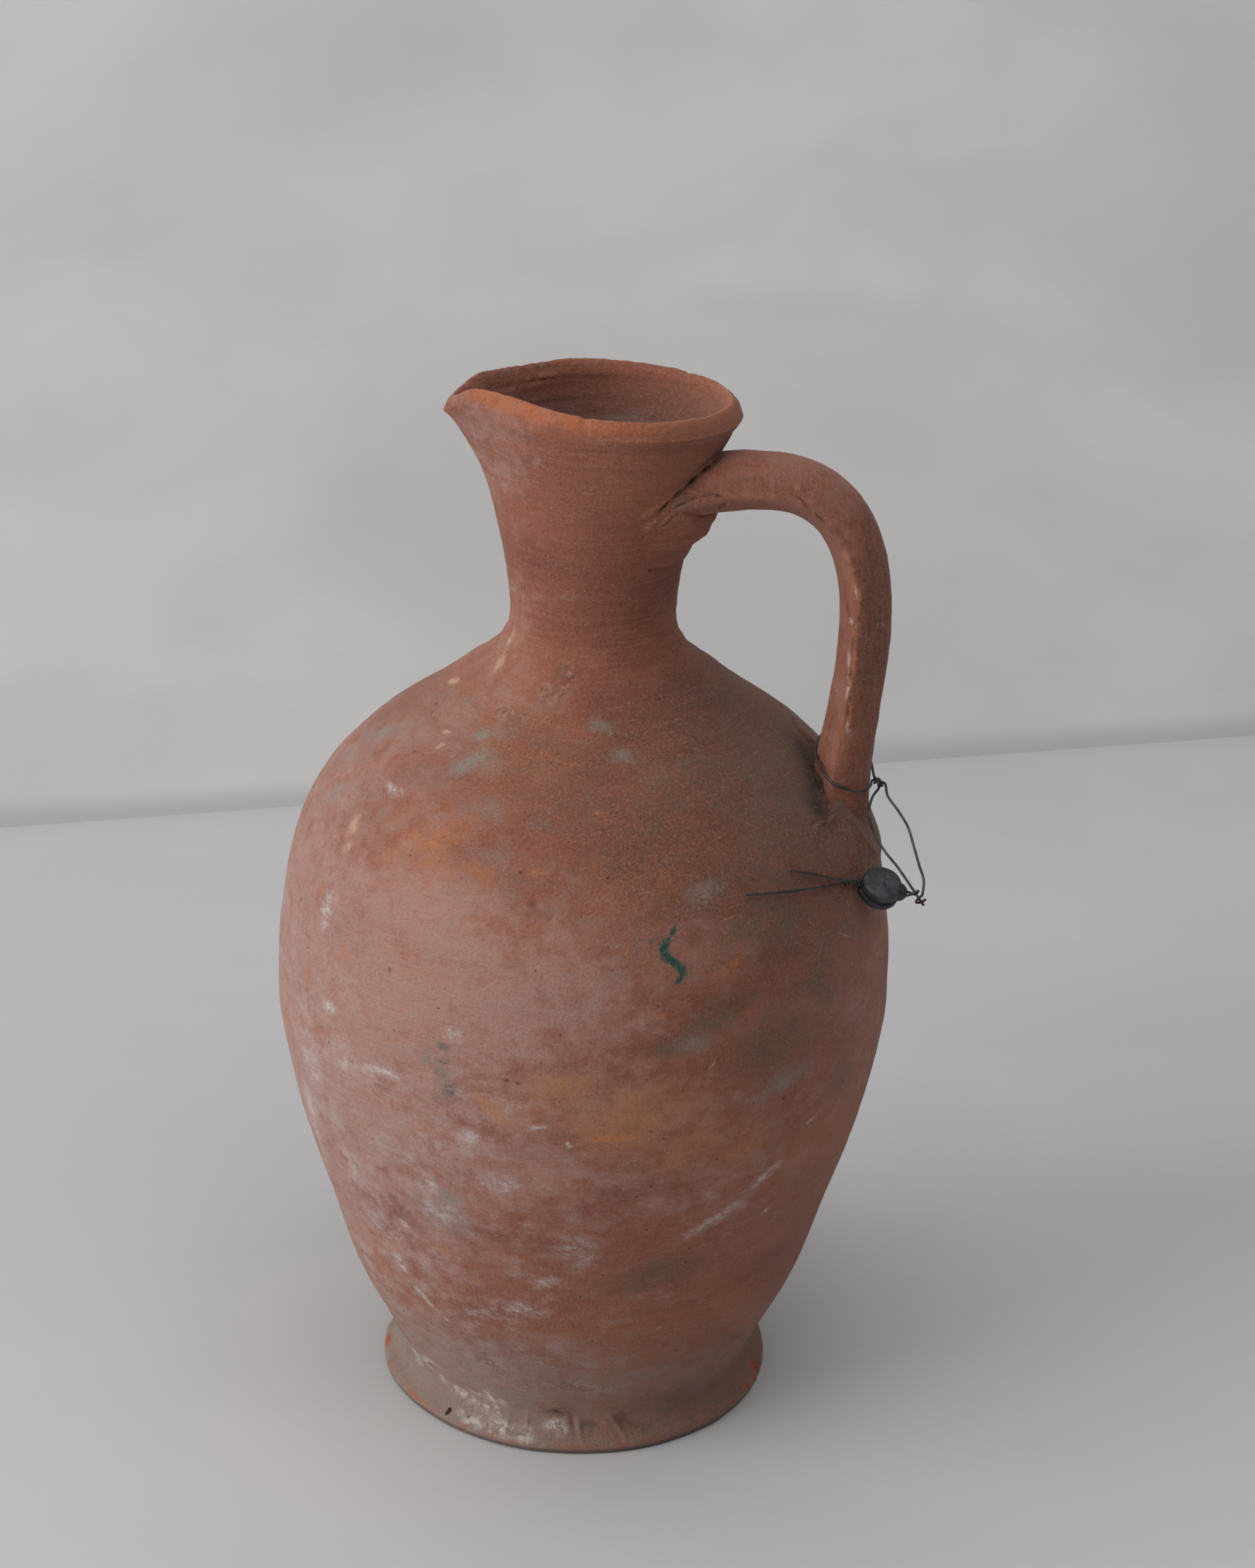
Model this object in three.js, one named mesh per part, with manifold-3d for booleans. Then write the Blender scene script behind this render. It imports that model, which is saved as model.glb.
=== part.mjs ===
// A wheel-thrown earthenware jug with a pinched spout, a splayed foot and one pulled handle.
// An iron wire is tied round the handle, and a lead seal hangs from it on a second, doubled wire.
// Millimetres, +Z up. The origin is the centre of the foot's flat underside, on the wheel's axis.
// The spout points towards -X and the handle stands on the +X side, a little towards -Y.

import * as THREE from 'three';
import { mergeVertices } from 'three/addons/utils/BufferGeometryUtils.js';
import Module from 'manifold-3d';

// Driving sizes of the vessel
const FOOT_RADIUS = 63.35;
const FOOT_EDGE = 4.0; // upright edge of the foot, above its chamfer
const FOOT_CHAMFER = 0.8;
const FOOT_HEIGHT = 12.0;
const WAIST_RADIUS = 57.5;
const BELLY_RADIUS = 96.4;
const BELLY_HEIGHT = 146.0;
const THROAT_RADIUS = 25.3;
const THROAT_HEIGHT = 265.0;
const SEAM_BELOW_THROAT = 17.0; // the neck is luted on to the shoulder here
const LIP_RADIUS = 42.8;
const RIM_HEIGHT = 331.0;
const LIP_DROP = 5.0; // the widest line of the lip lies this far under the crest
const BODY_WALL = 6.0;
const NECK_WALL = 5.5;
const LIP_WALL = 6.0;

// The pinched mouth: a round opening and a beak, drawn from above
const MOUTH_RADIUS = 36.9;
const MOUTH_SHIFT = 5.9; // the round part's centre, towards the handle
const SPOUT_REACH = 45.8;
const SPOUT_HALF_ANGLE = THREE.MathUtils.degToRad(46);
const SPOUT_TIP_ROUNDING = 0.05; // radians
const RIM_TILT = 1.9;
const SPOUT_DIP = 4.7;
const SPOUT_DIP_WIDTH = THREE.MathUtils.degToRad(8);

// Driving sizes of the handle, in its own upright plane
const HANDLE_TURN = THREE.MathUtils.degToRad(-4.8);
const HANDLE_SIDE_SHIFT = -10.2;
const HANDLE_ROOT_BELOW_RIM = 28.5;
const HANDLE_CROWN_RISE = 6.0; // above the root
const HANDLE_CROWN_BEYOND_LIP = 7.7;
const HANDLE_ELBOW_SHARE = 0.553; // the outermost point, as a share of the rise from foot to crown
const HANDLE_BULGE = 4.5; // how far it stands out beyond the foot
const HANDLE_ARCH_POWER = 2.4;
const HANDLE_FOOT_SHARE = 0.53; // of the shoulder's rise
const HANDLE_FOOT_INSET = 2.3; // its middle line ends this far inside the shoulder's face
const HANDLE_THICKNESS = 15.6;
const HANDLE_WIDTH = 21.0;
const HANDLE_ROOT_FLARE = 2.4; // extra thickness where it leaves the neck
const HANDLE_FOOT_FLARE = 1.6;
const HANDLE_CORNER_POWER = 0.88; // below 1 squares the section off
const HANDLE_RIDGE = 0.7; // a finger's ridge along both side faces
const HANDLE_RIDGE_ANGLE = THREE.MathUtils.degToRad(108); // from the outer face, round the section
const HANDLE_RIDGE_WIDTH = THREE.MathUtils.degToRad(24);

// Clay smeared over the handle's two ends
const UPPER_LUTE = { height: 5.2, width: 13.0, rise: 8.5, drop: 6.5, aside: -7.4 };
const LOWER_LUTE = { height: 5.6, spreadSide: 4.0, spreadUp: 2.0, spreadDown: 7.5, aside: 0 };

// Wires and seal
const WIRE_RADIUS = 0.4;
const WIRE_SIDES = 6;
const WIRE_CLEARANCE = 0.7; // round the handle
const COLLAR_ABOVE_SHOULDER = 1.85;
const COLLAR_FALL_OUT = -0.42; // slope of the loose collar, away from the neck
const COLLAR_FALL_NEAR = 0.35; // and towards -Y
const COLLAR_SHIFT = 0.2; // it hangs a little outwards
const EYE_RADIUS = 1.3;
const EYE_DROP = 2.5;
const EYE_STEP_OUT = 0.6;
const EYE_FALL = 0.78; // how steeply the eye hangs
const COLLAR_OPENING = 0.16; // radians left open where the collar's ends meet
const EYE_OPENING = 0.62;
const SEAL_RADIUS = 6.2;
const SEAL_THICKNESS = 6.4;
const SEAL_SLOT = 1.0;
const SEAL_SLOT_DEPTH = 1.2;
const SEAL_EDGE = 0.8; // how much the pressed edges are rounded
const SEAL_LUMP = 2.2;
const SEAL_LUMP_WIDTH = 3.1; // half of it
const SEAL_LUMP_HEIGHT = 2.7; // half of it
const SEAL_BORE_CLEARANCE = 0.45;
const SEAL_PLACE = [0.867, 1.021, 0.291];
const SEAL_FACE = [0.643, 0.67, 0.371]; // leans out, up and sideways
const SEAL_ALONG = [0.755, -0.475, -0.452];
const TWIST_RADIUS = 0.72;
const TWIST_PITCH = 5.6;
const EYE_PLACE = [0, 0.274, 0.463]; // sideways, down and off the shoulder, as in onShoulder
const PENDANT_LENGTH = 25.3; // from the eye down to the seal's hook
const PENDANT_TAIL = 4.6;
const WRAP_RADIUS = 1.3;
const WRAP_TURNS = 1.25;
const WRAP_START = 1.8; // below the hook
const WRAP_LENGTH = 2.0;
const WRAP_PHASE = 0.3; // radians

// Shared values
const CLEARANCE = 0.3; // between neighbours that are cut to each other
const BODY_SIDES = 48;
const BODY_STEPS = 33;
const LEAST_STEP = 1.0; // between two rings of the body
const NECK_SIDES = 52;
const HANDLE_SIDES = 18;
const HANDLE_STEPS = 36;
const MOUND_SIDES = 22;
const SEAL_SIDES = 28;

// How the outline bends between the driving sizes: [share of the rise, share of the change of radius]
const LOWER_BODY = [[0.12, 0.2], [0.25, 0.41], [0.44, 0.61], [0.66, 0.84], [0.88, 0.985]];
const SHOULDER = [
  [0.13, 0.01], [0.34, 0.07], [0.5, 0.197], [0.63, 0.4],
  [0.73, 0.63], [0.8, 0.78], [0.865, 0.92], [0.93, 0.99],
];
const NECK = [[0.2, 0.09], [0.4, 0.23], [0.61, 0.415], [0.8, 0.67]];

const LIP_HEIGHT = RIM_HEIGHT - LIP_DROP;
const SEAM_HEIGHT = THROAT_HEIGHT - SEAM_BELOW_THROAT;
const HANDLE_ROOT_HEIGHT = RIM_HEIGHT - HANDLE_ROOT_BELOW_RIM;
const HANDLE_CROWN_HEIGHT = HANDLE_ROOT_HEIGHT + HANDLE_CROWN_RISE;
const HANDLE_CROWN_REACH = LIP_RADIUS + HANDLE_CROWN_BEYOND_LIP;
const HANDLE_FOOT_HEIGHT = BELLY_HEIGHT + HANDLE_FOOT_SHARE * (THROAT_HEIGHT - BELLY_HEIGHT);
const HANDLE_RISE = HANDLE_CROWN_HEIGHT - HANDLE_FOOT_HEIGHT;
const HANDLE_ELBOW_HEIGHT = HANDLE_FOOT_HEIGHT + HANDLE_ELBOW_SHARE * HANDLE_RISE;
const HOOK_RADIUS = 2 * WIRE_RADIUS + CLEARANCE; // a wire bent loosely round another

const VERTICAL = new THREE.Vector3(0, 0, 1);

const wasm = await Module();
wasm.setup();

function toSolid(geometry) {
  const bare = geometry.clone();
  bare.deleteAttribute('normal');
  bare.deleteAttribute('uv');
  const merged = mergeVertices(bare, 1e-4);
  const vertProperties = new Float32Array(merged.attributes.position.array);
  const triVerts = new Uint32Array(merged.index.array);
  return new wasm.Manifold(new wasm.Mesh({ numProp: 3, vertProperties, triVerts }));
}

function toGeometry(solid) {
  const mesh = solid.getMesh();
  const geometry = new THREE.BufferGeometry();
  geometry.setAttribute('position', new THREE.BufferAttribute(mesh.vertProperties, 3));
  geometry.setIndex(new THREE.BufferAttribute(mesh.triVerts, 1));
  geometry.computeVertexNormals();
  return geometry;
}

function signedVolume(positions, index) {
  let volume = 0;
  for (let i = 0; i < index.length; i += 3) {
    const [a, b, c] = [0, 1, 2].map((k) => new THREE.Vector3().fromArray(positions, 3 * index[i + k]));
    volume += a.dot(b.cross(c)) / 6;
  }
  return volume;
}

// Joins rings of equal length into one skin. The ends are capped, or joined when ring follows ring.
function loft(rings, closed = false) {
  const sides = rings[0].length;
  const positions = rings.flat().flatMap((p) => [p.x, p.y, p.z]);
  const index = [];
  const steps = closed ? rings.length : rings.length - 1;
  for (let i = 0; i < steps; i += 1) {
    const low = i * sides;
    const high = ((i + 1) % rings.length) * sides;
    for (let j = 0; j < sides; j += 1) {
      const next = (j + 1) % sides;
      index.push(low + j, low + next, high + next, low + j, high + next, high + j);
    }
  }
  if (!closed) {
    for (const [ring, flip] of [[0, true], [rings.length - 1, false]]) {
      const centre = new THREE.Vector3();
      rings[ring].forEach((p) => centre.addScaledVector(p, 1 / sides));
      const hub = positions.length / 3;
      positions.push(centre.x, centre.y, centre.z);
      for (let j = 0; j < sides; j += 1) {
        const a = ring * sides + j;
        const b = ring * sides + ((j + 1) % sides);
        index.push(...(flip ? [hub, b, a] : [hub, a, b]));
      }
    }
  }
  if (signedVolume(positions, index) < 0) index.reverse();
  const geometry = new THREE.BufferGeometry();
  geometry.setAttribute('position', new THREE.Float32BufferAttribute(positions, 3));
  geometry.setIndex(index);
  geometry.computeVertexNormals();
  return geometry;
}

// A round tube along a list of points, its sections carried along without twisting.
function tube(points, radius, sides) {
  const tangents = points.map((p, i) => {
    const from = points[Math.max(i - 1, 0)];
    const to = points[Math.min(i + 1, points.length - 1)];
    return new THREE.Vector3().subVectors(to, from).normalize();
  });
  const across = new THREE.Vector3(0.31, 0.17, 0.93).cross(tangents[0]).normalize();
  const rings = points.map((p, i) => {
    across.addScaledVector(tangents[i], -across.dot(tangents[i])).normalize();
    const up = new THREE.Vector3().crossVectors(tangents[i], across);
    return Array.from({ length: sides }, (_, j) => {
      const angle = (2 * Math.PI * j) / sides;
      return p.clone()
        .addScaledVector(across, radius * Math.cos(angle))
        .addScaledVector(up, radius * Math.sin(angle));
    });
  });
  return loft(rings);
}

function smooth(points, steps) {
  return new THREE.CatmullRomCurve3(points, false, 'centripetal').getSpacedPoints(steps);
}

// The least free space between stretches of one wire that lie more than two diameters apart along it
function leastGap(line, radius) {
  let least = Infinity;
  const step = line[0].distanceTo(line[1]);
  const apart = Math.ceil((2 * Math.PI * radius) / step) + 1;
  for (let i = 0; i < line.length - 1; i += 1) {
    const piece = new THREE.Line3(line[i], line[i + 1]);
    for (let j = i + apart; j < line.length; j += 1) {
      const near = piece.closestPointToPoint(line[j], true, new THREE.Vector3());
      least = Math.min(least, near.distanceTo(line[j]) - 2 * radius);
    }
  }
  return least;
}

function revolve(profile) {
  return new THREE.LatheGeometry(profile, BODY_SIDES).rotateX(Math.PI / 2);
}

function between(shares, r0, z0, r1, z1) {
  return shares.map(([rise, spread]) => (
    new THREE.Vector2(THREE.MathUtils.lerp(r0, r1, spread), THREE.MathUtils.lerp(z0, z1, rise))
  ));
}

// The outline of the thrown vessel, from the waist to the lip
const outline = new THREE.SplineCurve([
  new THREE.Vector2(WAIST_RADIUS, FOOT_HEIGHT),
  ...between(LOWER_BODY, WAIST_RADIUS, FOOT_HEIGHT, BELLY_RADIUS, BELLY_HEIGHT),
  new THREE.Vector2(BELLY_RADIUS, BELLY_HEIGHT),
  ...between(SHOULDER, BELLY_RADIUS, BELLY_HEIGHT, THROAT_RADIUS, THROAT_HEIGHT),
  new THREE.Vector2(THROAT_RADIUS, THROAT_HEIGHT),
  ...between(NECK, THROAT_RADIUS, THROAT_HEIGHT, LIP_RADIUS, LIP_HEIGHT),
  new THREE.Vector2(LIP_RADIUS, LIP_HEIGHT),
]);
const outlineSamples = outline.getPoints(600);

function outerRadius(z) {
  const next = outlineSamples.findIndex((p) => p.y >= z);
  if (next <= 0) return next === 0 ? outlineSamples[0].x : LIP_RADIUS;
  const a = outlineSamples[next - 1];
  const b = outlineSamples[next];
  return a.x + ((b.x - a.x) * (z - a.y)) / (b.y - a.y);
}

function outerSlope(z) {
  return outerRadius(z + 0.5) - outerRadius(z - 0.5);
}

function innerRadius(z, wall) {
  return outerRadius(z) - wall * Math.hypot(1, outerSlope(z));
}

// The splayed foot: a disc of clay, cut flat underneath, that also makes the vessel's floor
function makeFoot() {
  const splay = FOOT_RADIUS - WAIST_RADIUS;
  const hollow = FOOT_HEIGHT - FOOT_EDGE;
  const sweep = [0.15, 0.4, 0.7, 1].map((share) => new THREE.Vector2(
    FOOT_RADIUS - splay * Math.sin((Math.PI / 2) * share),
    FOOT_EDGE + hollow * (1 - Math.cos((Math.PI / 2) * share)),
  ));
  return revolve([
    new THREE.Vector2(0, 0),
    new THREE.Vector2(FOOT_RADIUS - FOOT_CHAMFER, 0),
    new THREE.Vector2(FOOT_RADIUS, FOOT_CHAMFER),
    new THREE.Vector2(FOOT_RADIUS, FOOT_EDGE),
    ...sweep,
    new THREE.Vector2(0, FOOT_HEIGHT),
  ]);
}

// The thrown body: a shell that is open at the floor and at the throat
const bodyLevels = outline.getPoints(BODY_STEPS)
  .map((p) => p.y)
  .filter((z) => z < SEAM_HEIGHT - LEAST_STEP)
  .concat(SEAM_HEIGHT);

function makeBody() {
  const outer = bodyLevels.map((z) => new THREE.Vector2(outerRadius(z), z));
  const inner = bodyLevels.map((z) => new THREE.Vector2(innerRadius(z, BODY_WALL), z)).reverse();
  return revolve([...outer, ...inner, outer[0]]);
}

// Distance from the axis to the lip's outer edge, for an angle away from the spout
function mouthRadius(away) {
  const offset = MOUTH_SHIFT * Math.sin(away);
  const round = Math.sqrt(MOUTH_RADIUS ** 2 - offset ** 2) - MOUTH_SHIFT * Math.cos(away);
  const blunt = Math.hypot(away, SPOUT_TIP_ROUNDING) - SPOUT_TIP_ROUNDING;
  const turned = SPOUT_HALF_ANGLE + blunt;
  if (turned > Math.PI / 2) return round;
  return Math.max(round, (SPOUT_REACH * Math.sin(SPOUT_HALF_ANGLE)) / Math.sin(turned));
}

function rimRise(away) {
  return RIM_TILT * Math.cos(away) - SPOUT_DIP * Math.exp(-((away / SPOUT_DIP_WIDTH) ** 2));
}

// One ring of the neck. Depth is measured inwards from the outer face.
function neckRing(z, depth) {
  const share = THREE.MathUtils.clamp((z - THROAT_HEIGHT) / (LIP_HEIGHT - THROAT_HEIGHT), 0, 1);
  const round = outerRadius(Math.min(z, LIP_HEIGHT));
  return Array.from({ length: NECK_SIDES }, (_, i) => {
    const turn = (2 * Math.PI * i) / NECK_SIDES;
    const away = turn - 0.55 * Math.sin(turn); // closer together at the spout
    const angle = Math.PI + away;
    const fold = away > Math.PI ? 2 * Math.PI - away : away;
    const change = mouthRadius(fold) - LIP_RADIUS;
    const radius = round + change * share ** (change > 0 ? 6 : 2) - depth;
    const lift = rimRise(fold) * share ** 3;
    return new THREE.Vector3(radius * Math.cos(angle), radius * Math.sin(angle), z + lift);
  });
}

const neckLevels = [0.06, 0.14, 0.22, 0.31, 0.41, 0.51, 0.61, 0.71, 0.81, 0.9, 0.96, 1]
  .map((share) => SEAM_HEIGHT + share * (LIP_HEIGHT - SEAM_HEIGHT));

function makeNeck() {
  const seamDepth = outerRadius(SEAM_HEIGHT) - innerRadius(SEAM_HEIGHT, BODY_WALL);
  const depthAt = (z) => (z < THROAT_HEIGHT
    ? THREE.MathUtils.mapLinear(z, SEAM_HEIGHT, THROAT_HEIGHT, seamDepth, NECK_WALL)
    : THREE.MathUtils.mapLinear(z, THROAT_HEIGHT, LIP_HEIGHT, NECK_WALL, LIP_WALL));
  const outer = [SEAM_HEIGHT, ...neckLevels].map((z) => neckRing(z, 0));
  const roll = [0.12, 0.3, 0.5, 0.7, 0.88].map((share) => neckRing(
    LIP_HEIGHT + LIP_DROP * Math.sin(Math.PI * share) ** 0.7,
    LIP_WALL * share,
  ));
  const innerLevels = [SEAM_HEIGHT, ...neckLevels.filter((_, i) => i % 2 === 1)];
  const inner = innerLevels.map((z) => neckRing(z, depthAt(z))).reverse();
  return loft([...outer, ...roll, ...inner], true);
}

// Solid stand-ins of the outer faces, used to trim what is luted on to them
function bodyEnvelope(gap) {
  const skin = bodyLevels.map((z) => new THREE.Vector2(innerRadius(z, -gap), z));
  const top = new THREE.Vector2(0, SEAM_HEIGHT);
  return toSolid(revolve([new THREE.Vector2(0, FOOT_HEIGHT), ...skin, top]));
}

function neckEnvelope(gap) {
  return toSolid(loft([SEAM_HEIGHT, ...neckLevels].map((z) => neckRing(z, -gap))));
}

const HANDLE_FOOT_REACH = outerRadius(HANDLE_FOOT_HEIGHT) - HANDLE_FOOT_INSET;
const HANDLE_REACH = HANDLE_FOOT_REACH + HANDLE_BULGE;
const footSlope = Math.abs(outerSlope(HANDLE_FOOT_HEIGHT));
const COLLAR_HEIGHT = HANDLE_FOOT_HEIGHT + HANDLE_THICKNESS / 2 / footSlope + COLLAR_ABOVE_SHOULDER;

// The handle's plane: out is the distance from the axis, near is the distance from the plane
function handlePoint(out, up, near = 0) {
  const point = new THREE.Vector3(out, near, up);
  return point.applyAxisAngle(VERTICAL, HANDLE_TURN).add(new THREE.Vector3(0, HANDLE_SIDE_SHIFT, 0));
}

// Distance from the axis to the middle line of the handle's straight lower part
function handleReach(z) {
  const share = (HANDLE_ELBOW_HEIGHT - z) / (HANDLE_ELBOW_HEIGHT - HANDLE_FOOT_HEIGHT);
  return HANDLE_REACH - HANDLE_BULGE * (1 - Math.cos(Math.PI * share)) / 2;
}

// The handle's middle line as [out, up] pairs: off the neck, over the arch and down on to the shoulder
function handleLine() {
  const line = [];
  const start = THROAT_RADIUS * 0.7;
  for (let i = 0; i <= 6; i += 1) {
    const share = i / 6;
    const rise = (HANDLE_CROWN_HEIGHT - HANDLE_ROOT_HEIGHT) * Math.sin((Math.PI / 2) * share);
    line.push([start + (HANDLE_CROWN_REACH - start) * share, HANDLE_ROOT_HEIGHT + rise]);
  }
  const power = 2 / HANDLE_ARCH_POWER;
  for (let i = 1; i <= 12; i += 1) {
    const turn = (Math.PI / 2) * (i / 12);
    const out = Math.sin(turn) ** power;
    const up = Math.max(Math.cos(turn), 0) ** power;
    line.push([
      THREE.MathUtils.lerp(HANDLE_CROWN_REACH, HANDLE_REACH, out),
      THREE.MathUtils.lerp(HANDLE_ELBOW_HEIGHT, HANDLE_CROWN_HEIGHT, up),
    ]);
  }
  for (let i = 1; i <= 9; i += 1) {
    const z = THREE.MathUtils.lerp(HANDLE_ELBOW_HEIGHT, HANDLE_FOOT_HEIGHT, i / 9);
    line.push([handleReach(z), z]);
  }
  line.push([HANDLE_FOOT_REACH, HANDLE_FOOT_HEIGHT - HANDLE_THICKNESS]);
  return line;
}

// The handle's section at one angle, as [out, near]. The outer face is at 0.
function section(angle, thick, wide) {
  const c = Math.cos(angle);
  const s = Math.sin(angle);
  const away = (Math.abs(Math.atan2(s, c)) - HANDLE_RIDGE_ANGLE) / HANDLE_RIDGE_WIDTH;
  const ridge = HANDLE_RIDGE * Math.exp(-(away ** 2));
  return [
    thick * Math.sign(c) * Math.abs(c) ** HANDLE_CORNER_POWER,
    (wide + ridge) * Math.sign(s) * Math.abs(s) ** HANDLE_CORNER_POWER,
  ];
}

// A soft-cornered section, swept along the middle line and grown by a margin
function handleSkin(margin) {
  const flat = handleLine().map(([out, up]) => new THREE.Vector3(out, up, 0));
  const line = new THREE.CatmullRomCurve3(flat, false, 'centripetal');
  const rings = Array.from({ length: HANDLE_STEPS + 1 }, (_, i) => {
    const share = i / HANDLE_STEPS;
    const at = line.getPointAt(share);
    const along = line.getTangentAt(share);
    const flare = HANDLE_ROOT_FLARE * (1 - share) ** 5 + HANDLE_FOOT_FLARE * share ** 8;
    return Array.from({ length: HANDLE_SIDES }, (_unused, j) => {
      const angle = (2 * Math.PI * j) / HANDLE_SIDES;
      const thick = (HANDLE_THICKNESS + flare) / 2 + margin;
      const wide = (HANDLE_WIDTH + flare) / 2 + margin;
      const [out, near] = section(angle, thick, wide);
      return handlePoint(at.x - out * along.y, at.y + out * along.x, near);
    });
  });
  return loft(rings);
}

function makeHandle() {
  const swept = toSolid(handleSkin(0));
  return toGeometry(swept.subtract(neckEnvelope(CLEARANCE)).subtract(bodyEnvelope(CLEARANCE)));
}

// A mound of clay pressed on to a wall round the handle's end, trimmed to the handle
function mound(end, size) {
  const centre = handlePoint(end.reach, end.height, size.aside);
  const out = new THREE.Vector3(centre.x, centre.y, 0).normalize().setZ(-outerSlope(end.height)).normalize();
  const side = new THREE.Vector3().crossVectors(VERTICAL, out).normalize();
  const up = new THREE.Vector3().crossVectors(out, side);
  const seat = centre.addScaledVector(up, -size.drop);
  const rings = Array.from({ length: 9 }, (_, i) => {
    const lift = (Math.PI * (i + 1)) / 10;
    return Array.from({ length: MOUND_SIDES }, (_unused, j) => {
      const angle = (2 * Math.PI * j) / MOUND_SIDES;
      return seat.clone()
        .addScaledVector(out, -size.height * Math.cos(lift))
        .addScaledVector(side, size.width * Math.sin(lift) * Math.cos(angle))
        .addScaledVector(up, size.rise * Math.sin(lift) * Math.sin(angle));
    });
  });
  return toSolid(loft(rings)).subtract(toSolid(handleSkin(CLEARANCE)));
}

function makeUpperLute() {
  const end = { reach: outerRadius(HANDLE_ROOT_HEIGHT), height: HANDLE_ROOT_HEIGHT };
  return toGeometry(mound(end, UPPER_LUTE).subtract(neckEnvelope(CLEARANCE)));
}

// The skirt spreads beyond the long oval in which the upright handle meets the sloping shoulder
function makeLowerLute() {
  const end = { reach: HANDLE_FOOT_REACH, height: HANDLE_FOOT_HEIGHT };
  const footprint = ((HANDLE_THICKNESS + HANDLE_FOOT_FLARE) / 2) * (Math.hypot(1, footSlope) / footSlope);
  const size = {
    ...LOWER_LUTE,
    width: HANDLE_WIDTH / 2 + LOWER_LUTE.spreadSide,
    rise: footprint + (LOWER_LUTE.spreadUp + LOWER_LUTE.spreadDown) / 2,
    drop: (LOWER_LUTE.spreadDown - LOWER_LUTE.spreadUp) / 2,
  };
  return toGeometry(mound(end, size).subtract(bodyEnvelope(CLEARANCE)));
}

// The loose collar lies in a sloping plane round the handle's foot
const collarReach = handleReach(COLLAR_HEIGHT) + COLLAR_SHIFT;
const collarCentre = handlePoint(collarReach, COLLAR_HEIGHT);

function collarPoint(turn) {
  const slack = WIRE_CLEARANCE + WIRE_RADIUS;
  const [out, near] = section(turn, HANDLE_THICKNESS / 2 + slack, HANDLE_WIDTH / 2 + slack);
  const point = handlePoint(collarReach + out, COLLAR_HEIGHT, near);
  const away = new THREE.Vector3().subVectors(point, collarCentre);
  point.z += COLLAR_FALL_OUT * away.x + COLLAR_FALL_NEAR * away.y;
  return point;
}

// The collar's ends meet outside the handle, and one runs on into the eye that carries the pendant
const collarOuter = collarPoint(0);
const heading = new THREE.Vector3(collarOuter.x, collarOuter.y, 0).normalize();
const eyeAxis = heading.clone().multiplyScalar(Math.sqrt(1 - EYE_FALL ** 2)).setZ(-EYE_FALL);
const eyeSide = new THREE.Vector3().crossVectors(VERTICAL, heading);
const eyeNormal = new THREE.Vector3().crossVectors(eyeAxis, eyeSide);
const eyeStart = collarOuter.clone().addScaledVector(heading, EYE_STEP_OUT);
const eyeCentre = eyeStart.addScaledVector(eyeAxis, EYE_DROP);
const eyeFoot = eyeCentre.clone().addScaledVector(eyeAxis, EYE_RADIUS); // the pendant swings on it

function eyePoint(turn) {
  return eyeCentre.clone()
    .addScaledVector(eyeAxis, -EYE_RADIUS * Math.cos(turn))
    .addScaledVector(eyeSide, -EYE_RADIUS * Math.sin(turn));
}

// Points from one side of an opening at angle 0, round to its other side
function roundFrom(opening, steps, at) {
  return Array.from({ length: steps + 1 }, (_, i) => (
    at(THREE.MathUtils.lerp(opening, 2 * Math.PI - opening, i / steps))
  ));
}

function makeCollar() {
  const ring = roundFrom(COLLAR_OPENING, 30, collarPoint);
  const line = smooth([...ring, ...roundFrom(EYE_OPENING, 14, eyePoint)], 90);
  console.log(`collar_wire: least gap to itself ${leastGap(line, WIRE_RADIUS).toFixed(2)} mm`);
  return tube(line, WIRE_RADIUS, WIRE_SIDES);
}

// The wires hang over the shoulder. A place on it is given as [sideways, down, off its face] from the
// eye, in shares of the pendant's length, and comes back with the shoulder's own directions there.
function onShoulder([sideways, down, off]) {
  const z = eyeFoot.z - down * PENDANT_LENGTH;
  const radius = outerRadius(z);
  const angle = Math.atan2(eyeFoot.y, eyeFoot.x) - (sideways * PENDANT_LENGTH) / radius;
  const outwards = new THREE.Vector3(Math.cos(angle), Math.sin(angle), 0);
  const side = new THREE.Vector3().crossVectors(outwards, VERTICAL);
  const up = outwards.clone().multiplyScalar(outerSlope(z)).add(VERTICAL).normalize();
  const normal = new THREE.Vector3().crossVectors(up, side);
  const foot = outwards.multiplyScalar(radius).setZ(z);
  return { at: foot.addScaledVector(normal, off * PENDANT_LENGTH), normal, up, side };
}

function route(list) {
  return list.map((place) => onShoulder(place).at);
}

// The pendant's legs start at the eye, wherever it hangs, and end over their places on the shoulder
const shift = eyeFoot.clone().sub(onShoulder(EYE_PLACE).at);

function hang(list) {
  return route(list).map((at, i) => at.addScaledVector(shift, (1 - (i + 1) / list.length) ** 2));
}

const PENDANT_LEFT = hang([
  [0.108, 0.299, 0.332], [0.229, 0.38, 0.244], [0.323, 0.475, 0.228],
  [0.422, 0.617, 0.255], [0.502, 0.759, 0.324], [0.579, 0.924, 0.446],
]);
const PENDANT_RIGHT = hang([
  [0.062, 0.358, 0.482], [0.151, 0.505, 0.541], [0.246, 0.654, 0.601],
  [0.363, 0.8, 0.629], [0.491, 0.954, 0.673], [0.588, 1.087, 0.72],
]);
const HOOK = onShoulder([0.698, 1.16, 0.63]).at; // where the seal's wire hooks on
const TWIST_END = onShoulder([1.27, 0.787, 0.083]).at;
const TAIL_UPPER = route([[1.454, 0.676, 0.064], [1.657, 0.574, 0.064], [1.968, 0.44, 0.066]]);
const TAIL_LOWER = route([
  [1.877, 0.674, 0.068], [2.202, 0.617, 0.072], [2.505, 0.569, 0.071], [2.73, 0.536, 0.068],
]);

const legWay = new THREE.Vector3().subVectors(HOOK, PENDANT_LEFT.at(-1)).normalize();

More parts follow.
